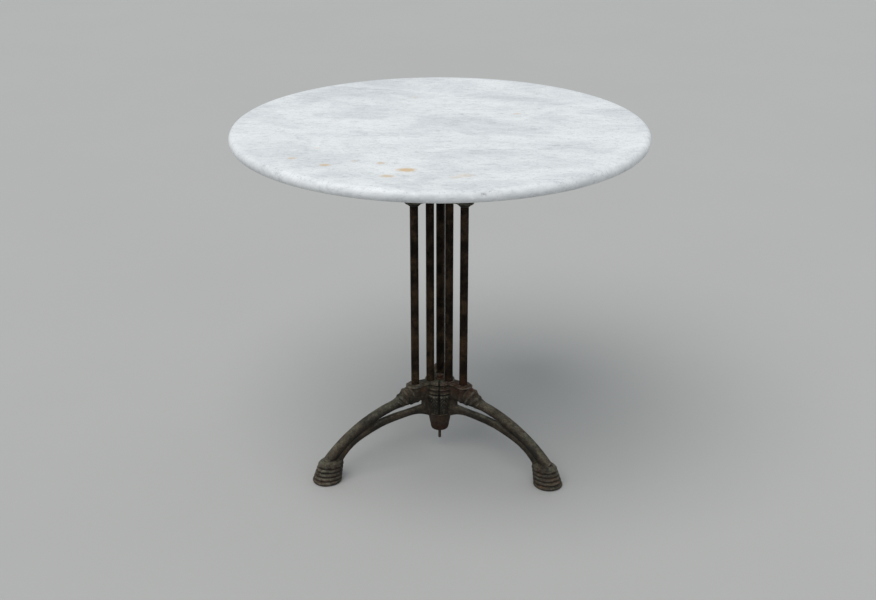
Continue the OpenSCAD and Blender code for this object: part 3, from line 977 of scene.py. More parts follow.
def tree_hoof():
    """The ridges of a hoof: round-rimmed discs that get smaller upwards and lean back."""
    found = bpy.data.node_groups.get("hoof_ridges")
    if found:
        return found
    tree, inside, outside = new_group(
        "hoof_ridges",
        "GeometryNodeTree",
        [
            ("Ridges", "NodeSocketInt", 5),
            ("Pitch", "NodeSocketFloat", 0.008),
            ("Sole Radius", "NodeSocketFloat", 0.030),
            ("Collar Radius", "NodeSocketFloat", 0.027),
            ("Sole Side", "NodeSocketFloat", 0.94),
            ("Collar Side", "NodeSocketFloat", 0.80),
            ("Lean", "NodeSocketFloat", 0.0085),
            ("Rim", "NodeSocketFloat", 0.0048),
            ("Material", "NodeSocketMaterial", None),
        ],
        [("Geometry", "NodeSocketGeometry")],
    )

    core = maths(tree, "SUBTRACT", inside["Sole Radius"], inside["Rim"])
    rim = add(
        tree,
        "GeometryNodeCurveToMesh",
        {
            "Curve": add(
                tree, "GeometryNodeCurvePrimitiveCircle", {"Resolution": 64, "Radius": core}
            ).outputs["Curve"],
            "Profile Curve": add(
                tree,
                "GeometryNodeCurvePrimitiveCircle",
                {"Resolution": 14, "Radius": inside["Rim"]},
            ).outputs["Curve"],
        },
    )
    disc = add(
        tree,
        "GeometryNodeMeshCylinder",
        {"Vertices": 64, "Radius": core, "Depth": maths(tree, "MULTIPLY", inside["Rim"], 2.0)},
    )
    ridge = add(tree, "GeometryNodeJoinGeometry")
    tree.links.new(rim.outputs[0], ridge.inputs[0])
    tree.links.new(disc.outputs["Mesh"], ridge.inputs[0])
    line = add(
        tree,
        "GeometryNodeMeshLine",
        {
            "Count": inside["Ridges"],
            "Start Location": add(tree, "ShaderNodeCombineXYZ", {"Z": inside["Rim"]}).outputs[0],
            "Offset": add(tree, "ShaderNodeCombineXYZ", {"Z": inside["Pitch"]}).outputs[0],
        },
    )
    index = add(tree, "GeometryNodeInputIndex").outputs[0]
    part = maths(tree, "DIVIDE", index, maths(tree, "SUBTRACT", inside["Ridges"], 1.0))
    back = maths(tree, "MULTIPLY", maths(tree, "MULTIPLY", part, inside["Lean"]), -1.0)
    leaning = add(
        tree,
        "GeometryNodeSetPosition",
        {
            "Geometry": line.outputs[0],
            "Offset": add(tree, "ShaderNodeCombineXYZ", {"X": back}).outputs[0],
        },
    )
    ratio = maths(tree, "DIVIDE", inside["Collar Radius"], inside["Sole Radius"])
    wide = maths(tree, "ADD", 1.0, maths(tree, "MULTIPLY", part, maths(tree, "SUBTRACT", ratio, 1.0)))
    side = maths(
        tree,
        "ADD",
        inside["Sole Side"],
        maths(tree, "MULTIPLY", part, maths(tree, "SUBTRACT", inside["Collar Side"], inside["Sole Side"])),
    )
    size = add(
        tree,
        "ShaderNodeCombineXYZ",
        {"X": wide, "Y": maths(tree, "MULTIPLY", wide, side), "Z": 1.0},
    )
    copies = add(
        tree,
        "GeometryNodeInstanceOnPoints",
        {"Points": leaning.outputs[0], "Instance": ridge.outputs[0], "Scale": size.outputs[0]},
    )
    real = add(tree, "GeometryNodeRealizeInstances", {"Geometry": copies.outputs[0]})
    painted = add(
        tree, "GeometryNodeSetMaterial", {"Geometry": real.outputs[0], "Material": inside["Material"]}
    )
    tree.links.new(painted.outputs[0], outside["Geometry"])
    return tree


def tree_thread():
    """A thread: a ridge wound around a shank."""
    found = bpy.data.node_groups.get("thread")
    if found:
        return found
    tree, inside, outside = new_group(
        "thread",
        "GeometryNodeTree",
        [
            ("Radius", "NodeSocketFloat", 0.003),
            ("Turns", "NodeSocketFloat", 20.0),
            ("Length", "NodeSocketFloat", 0.025),
            ("Ridge", "NodeSocketFloat", 0.0005),
            ("Material", "NodeSocketMaterial", None),
        ],
        [("Geometry", "NodeSocketGeometry")],
    )
    coil = add(
        tree,
        "GeometryNodeCurveSpiral",
        {
            "Resolution": 24,
            "Rotations": inside["Turns"],
            "Start Radius": inside["Radius"],
            "End Radius": inside["Radius"],
            "Height": inside["Length"],
        },
    )
    ridge = add(
        tree, "GeometryNodeCurvePrimitiveCircle", {"Resolution": 4, "Radius": inside["Ridge"]}
    )
    wound = add(
        tree,
        "GeometryNodeCurveToMesh",
        {"Curve": coil.outputs[0], "Profile Curve": ridge.outputs["Curve"], "Fill Caps": True},
    )
    real = add(tree, "GeometryNodeRealizeInstances", {"Geometry": wound.outputs[0]})
    painted = add(
        tree, "GeometryNodeSetMaterial", {"Geometry": real.outputs[0], "Material": inside["Material"]}
    )
    tree.links.new(painted.outputs[0], outside["Geometry"])
    return tree


# ---------------------------------------------------------------------------
# The slab


def build_slab(sizes, finish):
    radius, under, thick = sizes.radius / MM, sizes.under / MM, sizes.thickness / MM
    half = thick / 2
    segments = 540
    edge = np.linspace(-math.pi / 2, math.pi / 2, 25)
    profile = []
    for r in np.linspace(8, radius - half, 14)[:-1]:
        profile.append((r, under))
    for a in edge:
        profile.append((radius - half + half * math.cos(a), under + half + half * math.sin(a)))
    for r in np.linspace(radius - half, 8, 44)[1:]:
        profile.append((r, under + thick))
    verts, faces = turned(profile, segments)
    points = np.array(verts)

    # Chips: hollows around random places of the edge, and a few that are listed one by one
    rng = np.random.default_rng(12)
    chips = [
        (math.radians(-77.6), 0.35, 5.5, 1.0),
        (math.radians(-75.9), 0.75, 3.6, 0.9),
        (math.radians(-96.0), 0.70, 3.2, 0.5),
        (math.radians(-121.0), 0.62, 3.4, 0.5),
    ]
    for _ in range(sizes.chips):
        chips.append(
            (
                rng.uniform(0, TAU),
                rng.choice([-1, 1], p=[0.35, 0.65]) * rng.uniform(0.25, 1.15),
                rng.uniform(1.6, 4.2),
                rng.uniform(0.15, 0.55),
            )
        )
    at = np.arctan2(points[:, 1], points[:, 0])
    reach = np.hypot(points[:, 0], points[:, 1])
    near = reach > radius - 2.2 * half
    middle = np.stack(
        [(radius - half) * np.cos(at), (radius - half) * np.sin(at), np.full(len(at), under + half)], 1
    )
    inward = middle - points
    inward /= np.maximum(np.linalg.norm(inward, axis=1), 1e-6)[:, None]
    sunk = np.zeros(len(points))
    for a, slope, size, depth in chips:
        spot = np.array(
            [
                (radius - half + half * math.cos(slope)) * math.cos(a),
                (radius - half + half * math.cos(slope)) * math.sin(a),
                under + half + half * math.sin(slope),
            ]
        )
        away = np.linalg.norm(points - spot, axis=1)
        sunk = np.maximum(sunk, depth * ramp(-away, -size, -size * 0.25))
    sunk *= near * (0.75 + 0.25 * bumps(points, 3.0, 4))
    points += inward * (sunk * sizes.chip_depth / MM)[:, None]
    wavy = bumps(points, 38.0, 2) * 0.18
    points += inward * (near * np.abs(wavy))[:, None]

    obj = mesh_object("slab", points, faces)
    outwards(obj)
    layer = obj.data.attributes.new("chip", "FLOAT", "POINT")
    layer.data.foreach_set("value", np.clip(sunk * 1.6, 0, 1).astype(np.float32))
    return finish_piece(obj, marble_material(finish, sizes), ["marble_top"], 60.0)


# ---------------------------------------------------------------------------
# Castings. They are drawn with the mouth of the tube sockets at z = 0, the body below it
# and the arm along +X. Brackets are turned over when they are placed.


def arc_centre(p, q, r):
    """Centre of the circle of radius r through p and q, below the line from p to q."""
    p, q = np.array(p, float), np.array(q, float)
    step = q - p
    half = np.linalg.norm(step) / 2
    return (p + q) / 2 + math.sqrt(r * r - half * half) * np.array([step[1], -step[0]]) / (2 * half)


def arc_rows(centre, r, start, end, count, half_width, half_depth):
    """Rows along an arc, between the x values start and end, on its upper side."""
    a0, a1 = (math.acos((x - centre[0]) / r) for x in (start, end))
    return [
        (centre[0] + r * math.cos(a), centre[1] + r * math.sin(a), half_width, half_depth)
        for a in np.linspace(a0, a1, count)
    ]


def round_disc(x, r, low, high, rim):
    """Flat disc with a rounded rim."""
    profile = [(r - rim, low)]
    for a in np.linspace(-math.pi / 2, math.pi / 2, 9):
        profile.append((r - rim + rim * math.cos(a), (low + high) / 2 + (high - low) / 2 * math.sin(a)))
    profile.append((r - rim, high))
    return turned(profile, 72, x)


LOBE_R = 17.25
HUB_R = 31.0
BOSS_R = 12.75
SHOULDER_R = 24.5
NOSE_R = 18.5
NOSE_LENGTH = 17.0
FLANGE = 6.0
BOLT_HOLE_R = 3.5
SEAT_GAP = 0.8
HOOF_TOP = 45.0
HOOF_RIM = 4.3
BAR_ARCH_R = 312.0
RIB_ARCH_R = 335.0
RIB_BEND_R = 108.0
KNEE_RISE = 0.56
BRACKET_BAR_ARCH_R = 190.0
BRACKET_RIB_ARCH_R = 130.0
BRACKET_HALF_BAR = 8.5
BRACKET_HALF_RIB = 5.75
BRACKET_RIB_HALF_WIDTH = 5.0
ABOVE = 20.0  # reach of a bore over the mouth of its socket


def hub_parts(body_length, column):
    """Flange, mouldings, body and tube sockets of a hub. They are later cut to a third."""
    inner, outer = column.inner_circle / MM, column.outer_circle / MM
    body = smooth_rows(
        [
            (27.6, -1.0), (27.6, -6.0), (26.6, -8.4), (27.2, -11.2), (31.6, -12.8),
            (33.2, -14.3), (32.6, -16.2), (31.6, -18.5), (31.8, -22.0), (33.0, -24.2),
            (31.6, -25.6), (29.4, -26.8), (29.2, -28.6), (31.6, -30.2), (32.6, -32.0),
            (31.9, -34.0), (31.0, -37.0),
        ],
        4,
    )
    fall = smooth_rows(
        [
            (31.0, -37.0),
            (29.9, -37.0 - 0.32 * (body_length - 37)),
            (27.3, -37.0 - 0.66 * (body_length - 37)),
            (25.1, 2.5 - body_length),
            (SHOULDER_R, -body_length),
        ],
        6,
    )
    profile = [tuple(p) for p in body] + [tuple(p) for p in fall[1:]]
    profile += [(NOSE_R, -body_length - 0.4), (NOSE_R, -body_length - NOSE_LENGTH)]
    parts = [
        turned(profile, 96),
        round_disc(0, HUB_R, -FLANGE, -2.2, 2.0),
        round_disc(0, HUB_R - 2.2, -4.0, 0.0, 1.6),
        round_disc(outer, LOBE_R, -FLANGE, -2.2, 2.0),
        round_disc(outer, LOBE_R - 2.2, -4.0, 0.0, 1.6),
        sweep([(8, -FLANGE / 2 - 1, 12.4, 2.1), (outer, -FLANGE / 2 - 1, 12.4, 2.1)], 8, 4.0),
        sweep([(8, -2.0, 10.4, 2.0), (outer, -2.0, 10.4, 2.0)], 8, 5.0),
        turned([(11.6, -2.0), (12.0, -30.0), (9.0, -34.0)], 48, inner),
        turned([(BOSS_R, -2.0), (BOSS_R, -30.0), (11.6, -36.0), (8.5, -41.0), (4.0, -43.5)], 48, outer),
        sweep(
            [(16, -22.5, 11, 18.5), (36, -22.5, 9.6, 18), (48, -22.5, 9.8, 18), (58, -24, 11, 20)],
            4,
            3.5,
        ),
    ]
    return parts


def leg_parts(casting, body_length):
    """Bar, rib, web and heel of a leg."""
    bar = casting.bar / MM
    half_bar, half_rib = bar / 2, casting.rib_depth / MM / 2
    half_width = casting.rib_width / MM / 2
    collar_z = HOOF_TOP - HUB_TOP
    bar_end = (FOOT_CIRCLE_R + 8.5, collar_z + 2)
    centre = arc_centre((OUTER_CIRCLE_R + 46, -27), bar_end, BAR_ARCH_R)
    bar_rows = [
        (57, -25.5, 12.2, 18.5), (67, -25.5, 13.4, 20.5), (76, -26.5, 13.4, 19.8),
        (84, -30.5, 12.4, 15.8), (93, -34.5, 11.4, 12.6),
    ]
    bar_rows += arc_rows(
        centre, BAR_ARCH_R - half_bar, 106, FOOT_CIRCLE_R - 1, 12, half_bar, half_bar
    )
    rib_rows = [
        (25, 107.5, 9.0, 15.0), (36, 109.5, 7.4, 12.0), (48, 110.7, 6.6, 9.6),
        (60, 110.7, 6.2, 8.2), (72, 110.0, half_width, 7.6), (95, 108.0, half_width, 8.0),
        (118, 105.0, half_width, 8.4), (138, 100.6, half_width, 8.4),
    ]
    rib_rows = [(x, z - HUB_TOP, w, h) for x, z, w, h in rib_rows]
    rib_start, rib_end = (SHOULDER_R + 35, -body_length + 5), collar_z - 9
    knee = np.array([FOOT_CIRCLE_R - 79.5, rib_end + KNEE_RISE * (rib_start[1] - rib_end)])
    flat_c = arc_centre(rib_start, knee, RIB_ARCH_R)
    bend_c = knee + (flat_c - knee) * RIB_BEND_R / RIB_ARCH_R
    rib_arc = arc_rows(flat_c, RIB_ARCH_R + half_rib, 156, knee[0], 4, half_width, half_rib)
    rib_arc += arc_rows(bend_c, RIB_BEND_R + half_rib, knee[0] + 7, 231, 8, half_width, half_rib)
    rib_rows += [(x, z + casting.rib_rise / MM, w, d) for x, z, w, d in rib_arc]
    bar_path = smooth_rows([(r[0], r[1]) for r in bar_rows], 4)
    rib_path = smooth_rows([(r[0], r[1]) for r in rib_rows], 4)
    web_rows = []
    for t in np.linspace(0, 1, 12):
        x_bar, x_rib = 153 + (FOOT_CIRCLE_R - 6 - 153) * t, 150 + (229 - 150) * t
        z_bar = np.interp(x_bar, bar_path[:, 0], bar_path[:, 1])
        z_rib = np.interp(x_rib, rib_path[:, 0], rib_path[:, 1])
        gap = math.hypot(x_bar - x_rib, z_bar - z_rib)
        web_rows.append(((x_bar + x_rib) / 2, (z_bar + z_rib) / 2, casting.web / MM / 2, gap / 2))
    heel = [(14, -46, 9, 26), (26, -46, 8.2, 24), (36, -46, 7.2, 20), (40.5, -46, 6.4, 18)]
    return [
        sweep(bar_rows, 5, 2.0, 40),
        sweep(rib_rows, 4, 2.9, 32),
        sweep(web_rows, 3, 5.0, 24),
        sweep(heel, 4, 4.0, 24),
    ]


def hoof_parts():
    """The core of a hoof, and the dome by which the leg runs into its collar."""
    side = 0.80
    rows = [
        (FOOT_CIRCLE_R, 0.4, 24.0, 0.94), (FOOT_CIRCLE_R - 2, 8, 23.0, 0.92),
        (FOOT_CIRCLE_R - 7, 30, 21.5, 0.84), (FOOT_CIRCLE_R - 8.5, 38.0, 25.0, side),
        (FOOT_CIRCLE_R - 9.0, 41.5, 24.6, side), (FOOT_CIRCLE_R - 10.0, 44.0, 21.5, side),
        (FOOT_CIRCLE_R - 11.5, 45.6, 15.0, 0.78),
    ]
    angle = np.linspace(0, TAU, 48, endpoint=False)
    rings = [
        np.stack([x + r * np.cos(angle), s * r * np.sin(angle), np.full(48, z - HUB_TOP)], 1)
        for x, z, r, s in smooth_rows(rows, 3)
    ]
    return [loft(rings)]


def hoof_ridges(casting):
    height = casting.hoof_height / MM
    pitch = (height - 2 * HOOF_RIM) / (casting.ridges - 1)
    obj = grown(
        "ridges",
        tree_hoof(),
        {
            "Ridges": casting.ridges,
            "Pitch": pitch * MM,
            "Sole Radius": casting.sole,
            "Collar Radius": casting.collar,
            "Lean": casting.lean,
            "Rim": HOOF_RIM * MM,
        },
    )
    verts = coordinates(obj.data) + np.array([FOOT_CIRCLE_R, 0, -HUB_TOP])
    faces = [tuple(p.vertices) for p in obj.data.polygons]
    remove(obj)
    return verts, faces


def bracket_parts(casting, rise):
    """Bar, rib, web, heel, boss and pad of a bracket, drawn like a leg."""
    centre = arc_centre(
        (OUTER_CIRCLE_R + 46, -27), (PAD_CIRCLE_R + 6, -rise + 18), BRACKET_BAR_ARCH_R
    )
    bar_rows = [
        (57, -25.5, 12.2, 18.0), (67, -26.0, 13.0, 18.6), (77, -28.5, 12.2, 15.5),
        (88, -31.5, 10.6, 11.8),
    ]
    bar_rows += arc_rows(
        centre, BRACKET_BAR_ARCH_R - BRACKET_HALF_BAR, 104, PAD_CIRCLE_R - 3, 9,
        BRACKET_HALF_BAR, BRACKET_HALF_BAR,
    )
    knee = (PAD_CIRCLE_R - 32, -rise + 5 + KNEE_RISE * (rise - 64))
    rib_c = arc_centre((SHOULDER_R + 35, -57.5), knee, BRACKET_RIB_ARCH_R)
    rib_rows = [(22, -62, 8, 13), (34, -58.5, 6.6, 9.5), (46, -56.0, 5.4, 6.6)]
    rib_rows += arc_rows(
        rib_c, BRACKET_RIB_ARCH_R + BRACKET_HALF_RIB, 60, PAD_CIRCLE_R - 3, 10,
        BRACKET_RIB_HALF_WIDTH, BRACKET_HALF_RIB,
    )
    bar_path = smooth_rows([(r[0], r[1]) for r in bar_rows], 4)
    rib_path = smooth_rows([(r[0], r[1]) for r in rib_rows], 4)
    web_rows = []
    for x in np.linspace(PAD_CIRCLE_R - 48, PAD_CIRCLE_R - 3, 8):
        z_bar = np.interp(x, bar_path[:, 0], bar_path[:, 1])
        z_rib = np.interp(x - 4, rib_path[:, 0], rib_path[:, 1])
        web_rows.append((x - 2, (z_bar + z_rib) / 2, casting.web / MM / 2, abs(z_bar - z_rib) / 2))
    heel = [(14, -40, 9, 20), (26, -40, 8.2, 19), (36, -40, 7.2, 15), (39, -40, 6.4, 13)]
    return [
        sweep(bar_rows, 5, 2.0, 40),
        sweep(rib_rows, 4, 2.9, 28),
        sweep(web_rows, 3, 5.0, 24),
        sweep(heel, 4, 4.0, 24),
        turned([(17.6, -rise), (19.0, 1.2 - rise), (19.0, 4.8 - rise), (17.6, 6 - rise),
                (14.5, 7.5 - rise),
                (12.2, 10 - rise), (12.2, 22.8 - rise), (11.2, 24 - rise)], 64, PAD_CIRCLE_R),
        turned([(13.5, -3.0), (LOBE_R - 2.6, -0.8), (13.2, 0.9), (11.2, 2.4), (10.3, 4.0), (9.0, 4.0)],
               48, OUTER_CIRCLE_R),
    ]


def calyx(points, outward, strength, casting_leaf):
    """Leaves that wrap the bar's root: overlapping pointed lobes with slanting veins."""
    x, y, z = points.T
    middle = np.interp(x, [57, 76, 93, 112], [-25.5, -26.5, -34.5, -42.0])
    angle = np.arctan2(z - middle, np.abs(y) + 1e-6)
    lobes = np.abs(np.sin(1.5 * angle + 0.6))
    tip = 84 + 17 * lobes**0.7
    inside = ramp(tip - x, -1.2, 1.6) * ramp(x, 60, 70) * ramp(z, -53.5, -49.0)
    inside = inside * ramp(outward[:, 2], -0.92, -0.35)
    slant = np.sin((x - 60) * 0.55 - angle * 4.2)
    veins = 0.55 * np.clip(slant, -0.5, 1)
    return casting_leaf * strength * inside * (0.52 + veins)


def acanthus(points, body_length, casting_leaf):
    """Two hanging leaves on the body, one to each side of the rib, each next to a seam."""
    x, y, z = points.T
    turn = np.degrees(np.arctan2(np.abs(y), x))
    reach = np.hypot(x, y)
    v = (-z - 31.5) / (body_length - 33.0)
    across = (turn - 40.0) / 22.0
    lobe = 1 - 0.20 * np.abs(np.sin(v * 3.4 * math.pi + np.abs(across) * 2.2))
    half = np.clip(1 - v, 0, 1) ** 0.55 * lobe
    body = ramp(half - np.abs(across), 0.0, 0.22) * (reach < HUB_R + 3.5) * (v > -0.04) * (v < 1)
    spine = np.exp(-((across / 0.13) ** 2))
    veins = np.cos((v * 9.5 - np.abs(across) * 4.2) * math.pi)
    return casting_leaf * body * (0.52 + 0.42 * spine + 0.30 * veins * (1 - spine))


def flute(points, height):
    """Shallow flutes around a hoof's collar."""
    x, y, z = points.T
    turn = np.arctan2(y, x - FOOT_CIRCLE_R + 8)
    level = z + HUB_TOP
    return 0.35 * np.cos(turn * 9) * ramp(level, 28, 33) * ramp(-level, -height - 1, -height + 4) * (
        x > FOOT_CIRCLE_R - 45
    )


def wedge(depth):
    """The third of a hub that belongs to one casting, a hair less than 120 degrees."""
    gap, far = 0.60, 420.0
    side = far * math.tan(math.radians(60))
    base = [(gap, 0), (far, -side), (far, side)]
    verts = [(x, y, z) for z in (-depth, 60.0) for x, y in base]
    faces = [(0, 2, 1), (3, 4, 5), (0, 1, 4, 3), (1, 2, 5, 4), (2, 0, 3, 5)]
    return mesh_object("wedge", verts, faces)


def rod(x, r, low, high):
    """Upright round bar at x, used to bore holes."""
    return turned([(r, low), (r, high)], 40, x)


def cross_rod(x, z, r, half):
    """Round bar across the arm's plane, used to bore the pin holes."""
    verts, faces = turned([(r, -half), (r, half)], 24)
    verts = np.asarray(verts)
    return np.stack([verts[:, 0] + x, verts[:, 2], verts[:, 1] + z], 1), faces


def sockets(obj, column, pin_level, depth, pin):
    """Bores the tube sockets, the bolt hole and the pin holes."""
    bore = (column.radius + column.gap) / MM
    inner, outer = column.inner_circle / MM, column.outer_circle / MM
    combine(
        obj,
        joined(
            "bores",
            [
                rod(inner, bore, -depth, ABOVE),
                rod(outer, bore, -depth, ABOVE),
                rod(0, BOLT_HOLE_R, -120, ABOVE),
            ],
        ),
        "DIFFERENCE",
    )
    combine(
        obj,
        joined("pin_holes", [cross_rod(x, pin_level, pin, 40) for x in (inner, outer)]),
        "DIFFERENCE",
    )


def carve(obj, casting, body_length, seed, is_leg):
    """Leaf work, rounded seams and the rough skin of the sand mould."""
    mesh = obj.data
    points, outward = coordinates(mesh), normals(mesh)
    leaf = casting.leaf / MM
    raised = calyx(points, outward, 1.0 if is_leg else 0.7, leaf)
    raised = np.maximum(raised, acanthus(points, body_length, leaf))
    if is_leg:
        raised = raised + flute(points, casting.hoof_height / MM)
    level = np.abs(outward[:, 2])
    flat = ramp(-points[:, 2], 0.4, 2.5)
    if is_leg:
        flat = flat * ramp(points[:, 2] + HUB_TOP, 0.3, 1.8)
    else:
        pad = points[:, 2] < -(SLAB_LOW.z - MOUTH_TOP) + 7.0
        flat = flat * ~pad
    rough = bumps(points, 9.0, seed) * 0.6 + bumps(points, 3.2, seed + 5) * 0.4
    groove = casting.seam / MM * np.exp(-((from_seam(points) / 1.4) ** 2)) * (points[:, 0] < 40)
    move = (raised + rough * casting.rough_cast / MM) * flat
    move -= groove * (1 - 0.9 * (level > 0.9))
    points += outward * move[:, None]
    points[:, 2] = np.minimum(points[:, 2], 0.0 if is_leg else 4.0)
    set_coordinates(mesh, points)


def build_castings(context):
    scene = context.scene
    casting, column, finish = scene.table_casting, scene.table_column, scene.table_finish
    iron = iron_material(finish, "weathered_casting", finish.iron_dark, finish.iron_brown, 0.68, 0.34)
    pin = scene.table_fastener.pin / MM / 2 + 0.05
    depth = HUB_TOP - INNER_LOW.z

    leg_body = HUB_TOP - CUP_HIGH.z
    ridges = hoof_ridges(casting)
    parts = hub_parts(leg_body, column) + leg_parts(casting, leg_body) + hoof_parts() + [ridges]
    pin_drop = HUB_TOP - (LOWER_PINS_LOW.z + LOWER_PINS_HIGH.z) / 2
    blank = cast_skin("leg_blank", parts, casting.skin, 3)
    for seed, (name, degrees) in enumerate(ARMS.items()):
        obj = bpy.data.objects.new("leg_" + name + "_casting", blank.data.copy())
        scene.collection.objects.link(obj)
        carve(obj, casting, leg_body, seed + 1, True)
        combine(obj, wedge(320), "INTERSECT")
        sockets(obj, column, -pin_drop, depth, pin)
        store_relief(obj, seamed=True)
        place(obj, degrees, HUB_TOP)
        finish_piece(obj, iron, ["leg_" + name], 55.0)
    remove(blank)

    rise = SLAB_LOW.z - MOUTH_TOP
    bracket_body = TOP_CAP_LOW.z - MOUTH_TOP
    parts = hub_parts(bracket_body, column) + bracket_parts(casting, rise)
    pin_rise = (UPPER_PINS_LOW.z + UPPER_PINS_HIGH.z) / 2 - MOUTH_TOP
    blank = cast_skin("bracket_blank", parts, casting.skin * 1.1, 3)
    for seed, (name, degrees) in enumerate(ARMS.items()):
        obj = bpy.data.objects.new("bracket_" + name + "_casting", blank.data.copy())
        scene.collection.objects.link(obj)
        carve(obj, casting, bracket_body, seed + 11, False)
        combine(obj, wedge(320), "INTERSECT")
        sockets(obj, column, -pin_rise, depth, pin)
        seat = SLAB_LOW.z - SCREW_WASHERS_HIGH.z
        shank = scene.table_fastener.screw / MM / 2 + 0.3
        hole = rod(PAD_CIRCLE_R, shank, -rise - 5, -rise + seat + 1)
        combine(obj, joined("hole", [hole]), "DIFFERENCE")
        sunk = rod(PAD_CIRCLE_R, SCREW_WASHER_R + SEAT_GAP, -rise + seat, -rise + seat + 60)
        combine(obj, joined("sunk_seat", [sunk]), "DIFFERENCE")
        store_relief(obj, seamed=True)
        place(obj, degrees, MOUTH_TOP, turned_over=True)
        finish_piece(obj, iron, ["bracket_" + name], 55.0)
    remove(blank)


def build_cap(name, node, mouth, end, turned_over, finish):
    """A tapered cap with a lip at its mouth, a bead near its end and the recess for the nut."""
    deep = abs(mouth - end)
    outside = smooth_rows(
        [
            (SHOULDER_R - 0.2, -0.3), (SHOULDER_R + 0.15, -1.2), (SHOULDER_R - 0.1, -3.4),
            (SHOULDER_R - 1.0, -4.6), (SHOULDER_R - 1.3, -6.0), (22.0, -0.42 * deep),
            (20.0, -0.68 * deep), (18.6, -deep + 5.0), (18.0, -deep + 2.6), (17.2, -deep + 0.9),
            (15.6, -deep),
        ],
        4,
    )
    recess = deep - NOSE_LENGTH - 9.0
    inside = [
        (10.5, -deep), (10.5, -deep + recess), (3.5, -deep + recess), (3.5, -NOSE_LENGTH),
        (NOSE_R + 0.2, -NOSE_LENGTH), (NOSE_R + 0.2, 0.0), (SHOULDER_R - 1.0, 0.0),
    ]
    verts, faces = turned([tuple(p) for p in outside] + inside, 96, loop=True)
    obj = mesh_object(name, verts, faces)
    outwards(obj)
    points, out = coordinates(obj.data), normals(obj.data)
    skin = ramp(np.hypot(points[:, 0], points[:, 1]), 14.0, 17.0) * (np.abs(out[:, 2]) < 0.9)
    points += out * (bumps(points, 8.0, 21 + len(name)) * 0.12 * skin)[:, None]
    points[:, 2] = np.clip(points[:, 2], -deep, 0.0)
    set_coordinates(obj.data, points)
    store_relief(obj, 4)
    place(obj, 0, mouth, turned_over)
    iron = iron_material(finish, "cap_iron", finish.rust_deep, finish.iron_brown, 0.30, 0.30)
    return finish_piece(obj, iron, [node], 40.0)


# ---------------------------------------------------------------------------
# Tubes and fasteners


def build_tubes(context):
    """Six drawn tubes with a slightly uneven, pitted skin."""
    scene = context.scene
    column, finish = scene.table_column, scene.table_finish
    radius, wall = column.radius / MM, column.wall / MM
    low, high = INNER_LOW.z, INNER_HIGH.z
    iron = iron_material(
        finish, "rusty_tube", finish.tube_dark, finish.tube_brown, 0.10, 0.22, (0.60, 0.82), 0.07
    )
    levels = np.linspace(low + 0.6, high - 0.6, 150)
    profile = [(radius - 0.5, low)] + [(radius, z) for z in levels] + [(radius - 0.5, high)]
    profile += [(radius - wall, high), (radius - wall, low)]
    for ring, circle in (("inner", column.inner_circle), ("outer", column.outer_circle)):
        for seed, (name, degrees) in enumerate(ARMS.items()):
            verts, faces = turned(profile, 48, loop=True)
            points = np.array(verts)
            skin = np.hypot(points[:, 0], points[:, 1]) > radius - 0.2
            out = points * np.array([1, 1, 0]) / radius
            points -= out * (np.abs(bumps(points, 11.0, seed + len(ring))) * 0.16 * skin)[:, None]
            points[:, 0] += circle / MM
            obj = mesh_object(ring + "_column_tube_" + name, points, faces)
            outwards(obj)
            place(obj, degrees)
            finish_piece(obj, iron, [ring + "_tube_" + name], 40.0)


def hexagon(across, low, high, bore=0.0):
    """Hexagonal head or nut with its corners turned off."""
    corner = across / 2 / math.cos(math.pi / 6)
    points = 48
    angle = np.linspace(0, TAU, points, endpoint=False)
    to_flat = (angle + math.pi / 6) % (math.pi / 3) - math.pi / 6
    reach = across / 2 / np.cos(to_flat)
    cut = (corner - across / 2) * 0.6
    rings = []
    for z, limit in (
        (low, across / 2 - 0.2),
        (low + cut, corner),
        (high - cut, corner),
        (high, across / 2 - 0.2),
    ):
        r = np.minimum(reach, limit)
        rings.append(np.stack([r * np.cos(angle), r * np.sin(angle), np.full(points, z)], 1))
    if bore:
        for z in (high, low):
            rings.append(np.stack([bore * np.cos(angle), bore * np.sin(angle), np.full(points, z)], 1))
    return loft(rings, loop=bool(bore))


def washer(r, bore, thick):
    """Flat ring with chamfered rims."""
    rim = thick * 0.3
    return turned(
        [(bore, 0), (r - rim, 0), (r, rim), (r, thick - rim), (r - rim, thick), (bore, thick)],
        64, loop=True,
    )


def build_bolt(name, node, seat, head_end, tip, turned_over, fasteners, steel):
    """A centre bolt: chamfered hexagonal head, shank and a real thread on its end."""
    shank_r = fasteners.bolt / MM / 2
    reach = abs(tip - seat)
    head = abs(head_end - seat)
    core = shank_r - 0.45
    threaded = 62.0
    shank = turned(
        [(shank_r, 0.1), (shank_r, -reach + threaded), (core, -reach + threaded - 0.6),
         (core, -reach + 0.8), (core - 0.8, -reach)], 40,
    )
    body = joined(name, [hexagon(fasteners.head / MM, 0.0, head), shank])
    outwards(body)
    coil = grown(
        "coil",
        tree_thread(),
        {
            "Radius": (core - 0.05) * MM,
            "Turns": (threaded - 3) * MM / fasteners.pitch,
            "Length": (threaded - 3) * MM,
            "Ridge": 0.5 * MM,
            "Material": steel,
        },
    )
    coil.data.transform(Matrix.Translation((0, 0, (-reach + 1.0) * MM)))
    verts = np.vstack([coordinates(body.data), coordinates(coil.data)])
    base = len(body.data.vertices)
    faces = [tuple(p.vertices) for p in body.data.polygons]
    faces += [tuple(v + base for v in p.vertices) for p in coil.data.polygons]
    remove(body)
    remove(coil)
    obj = mesh_object(name, verts, faces)
    outwards(obj)
    place(obj, 8.0, seat, turned_over)
    return finish_piece(obj, steel, [node], 35.0)


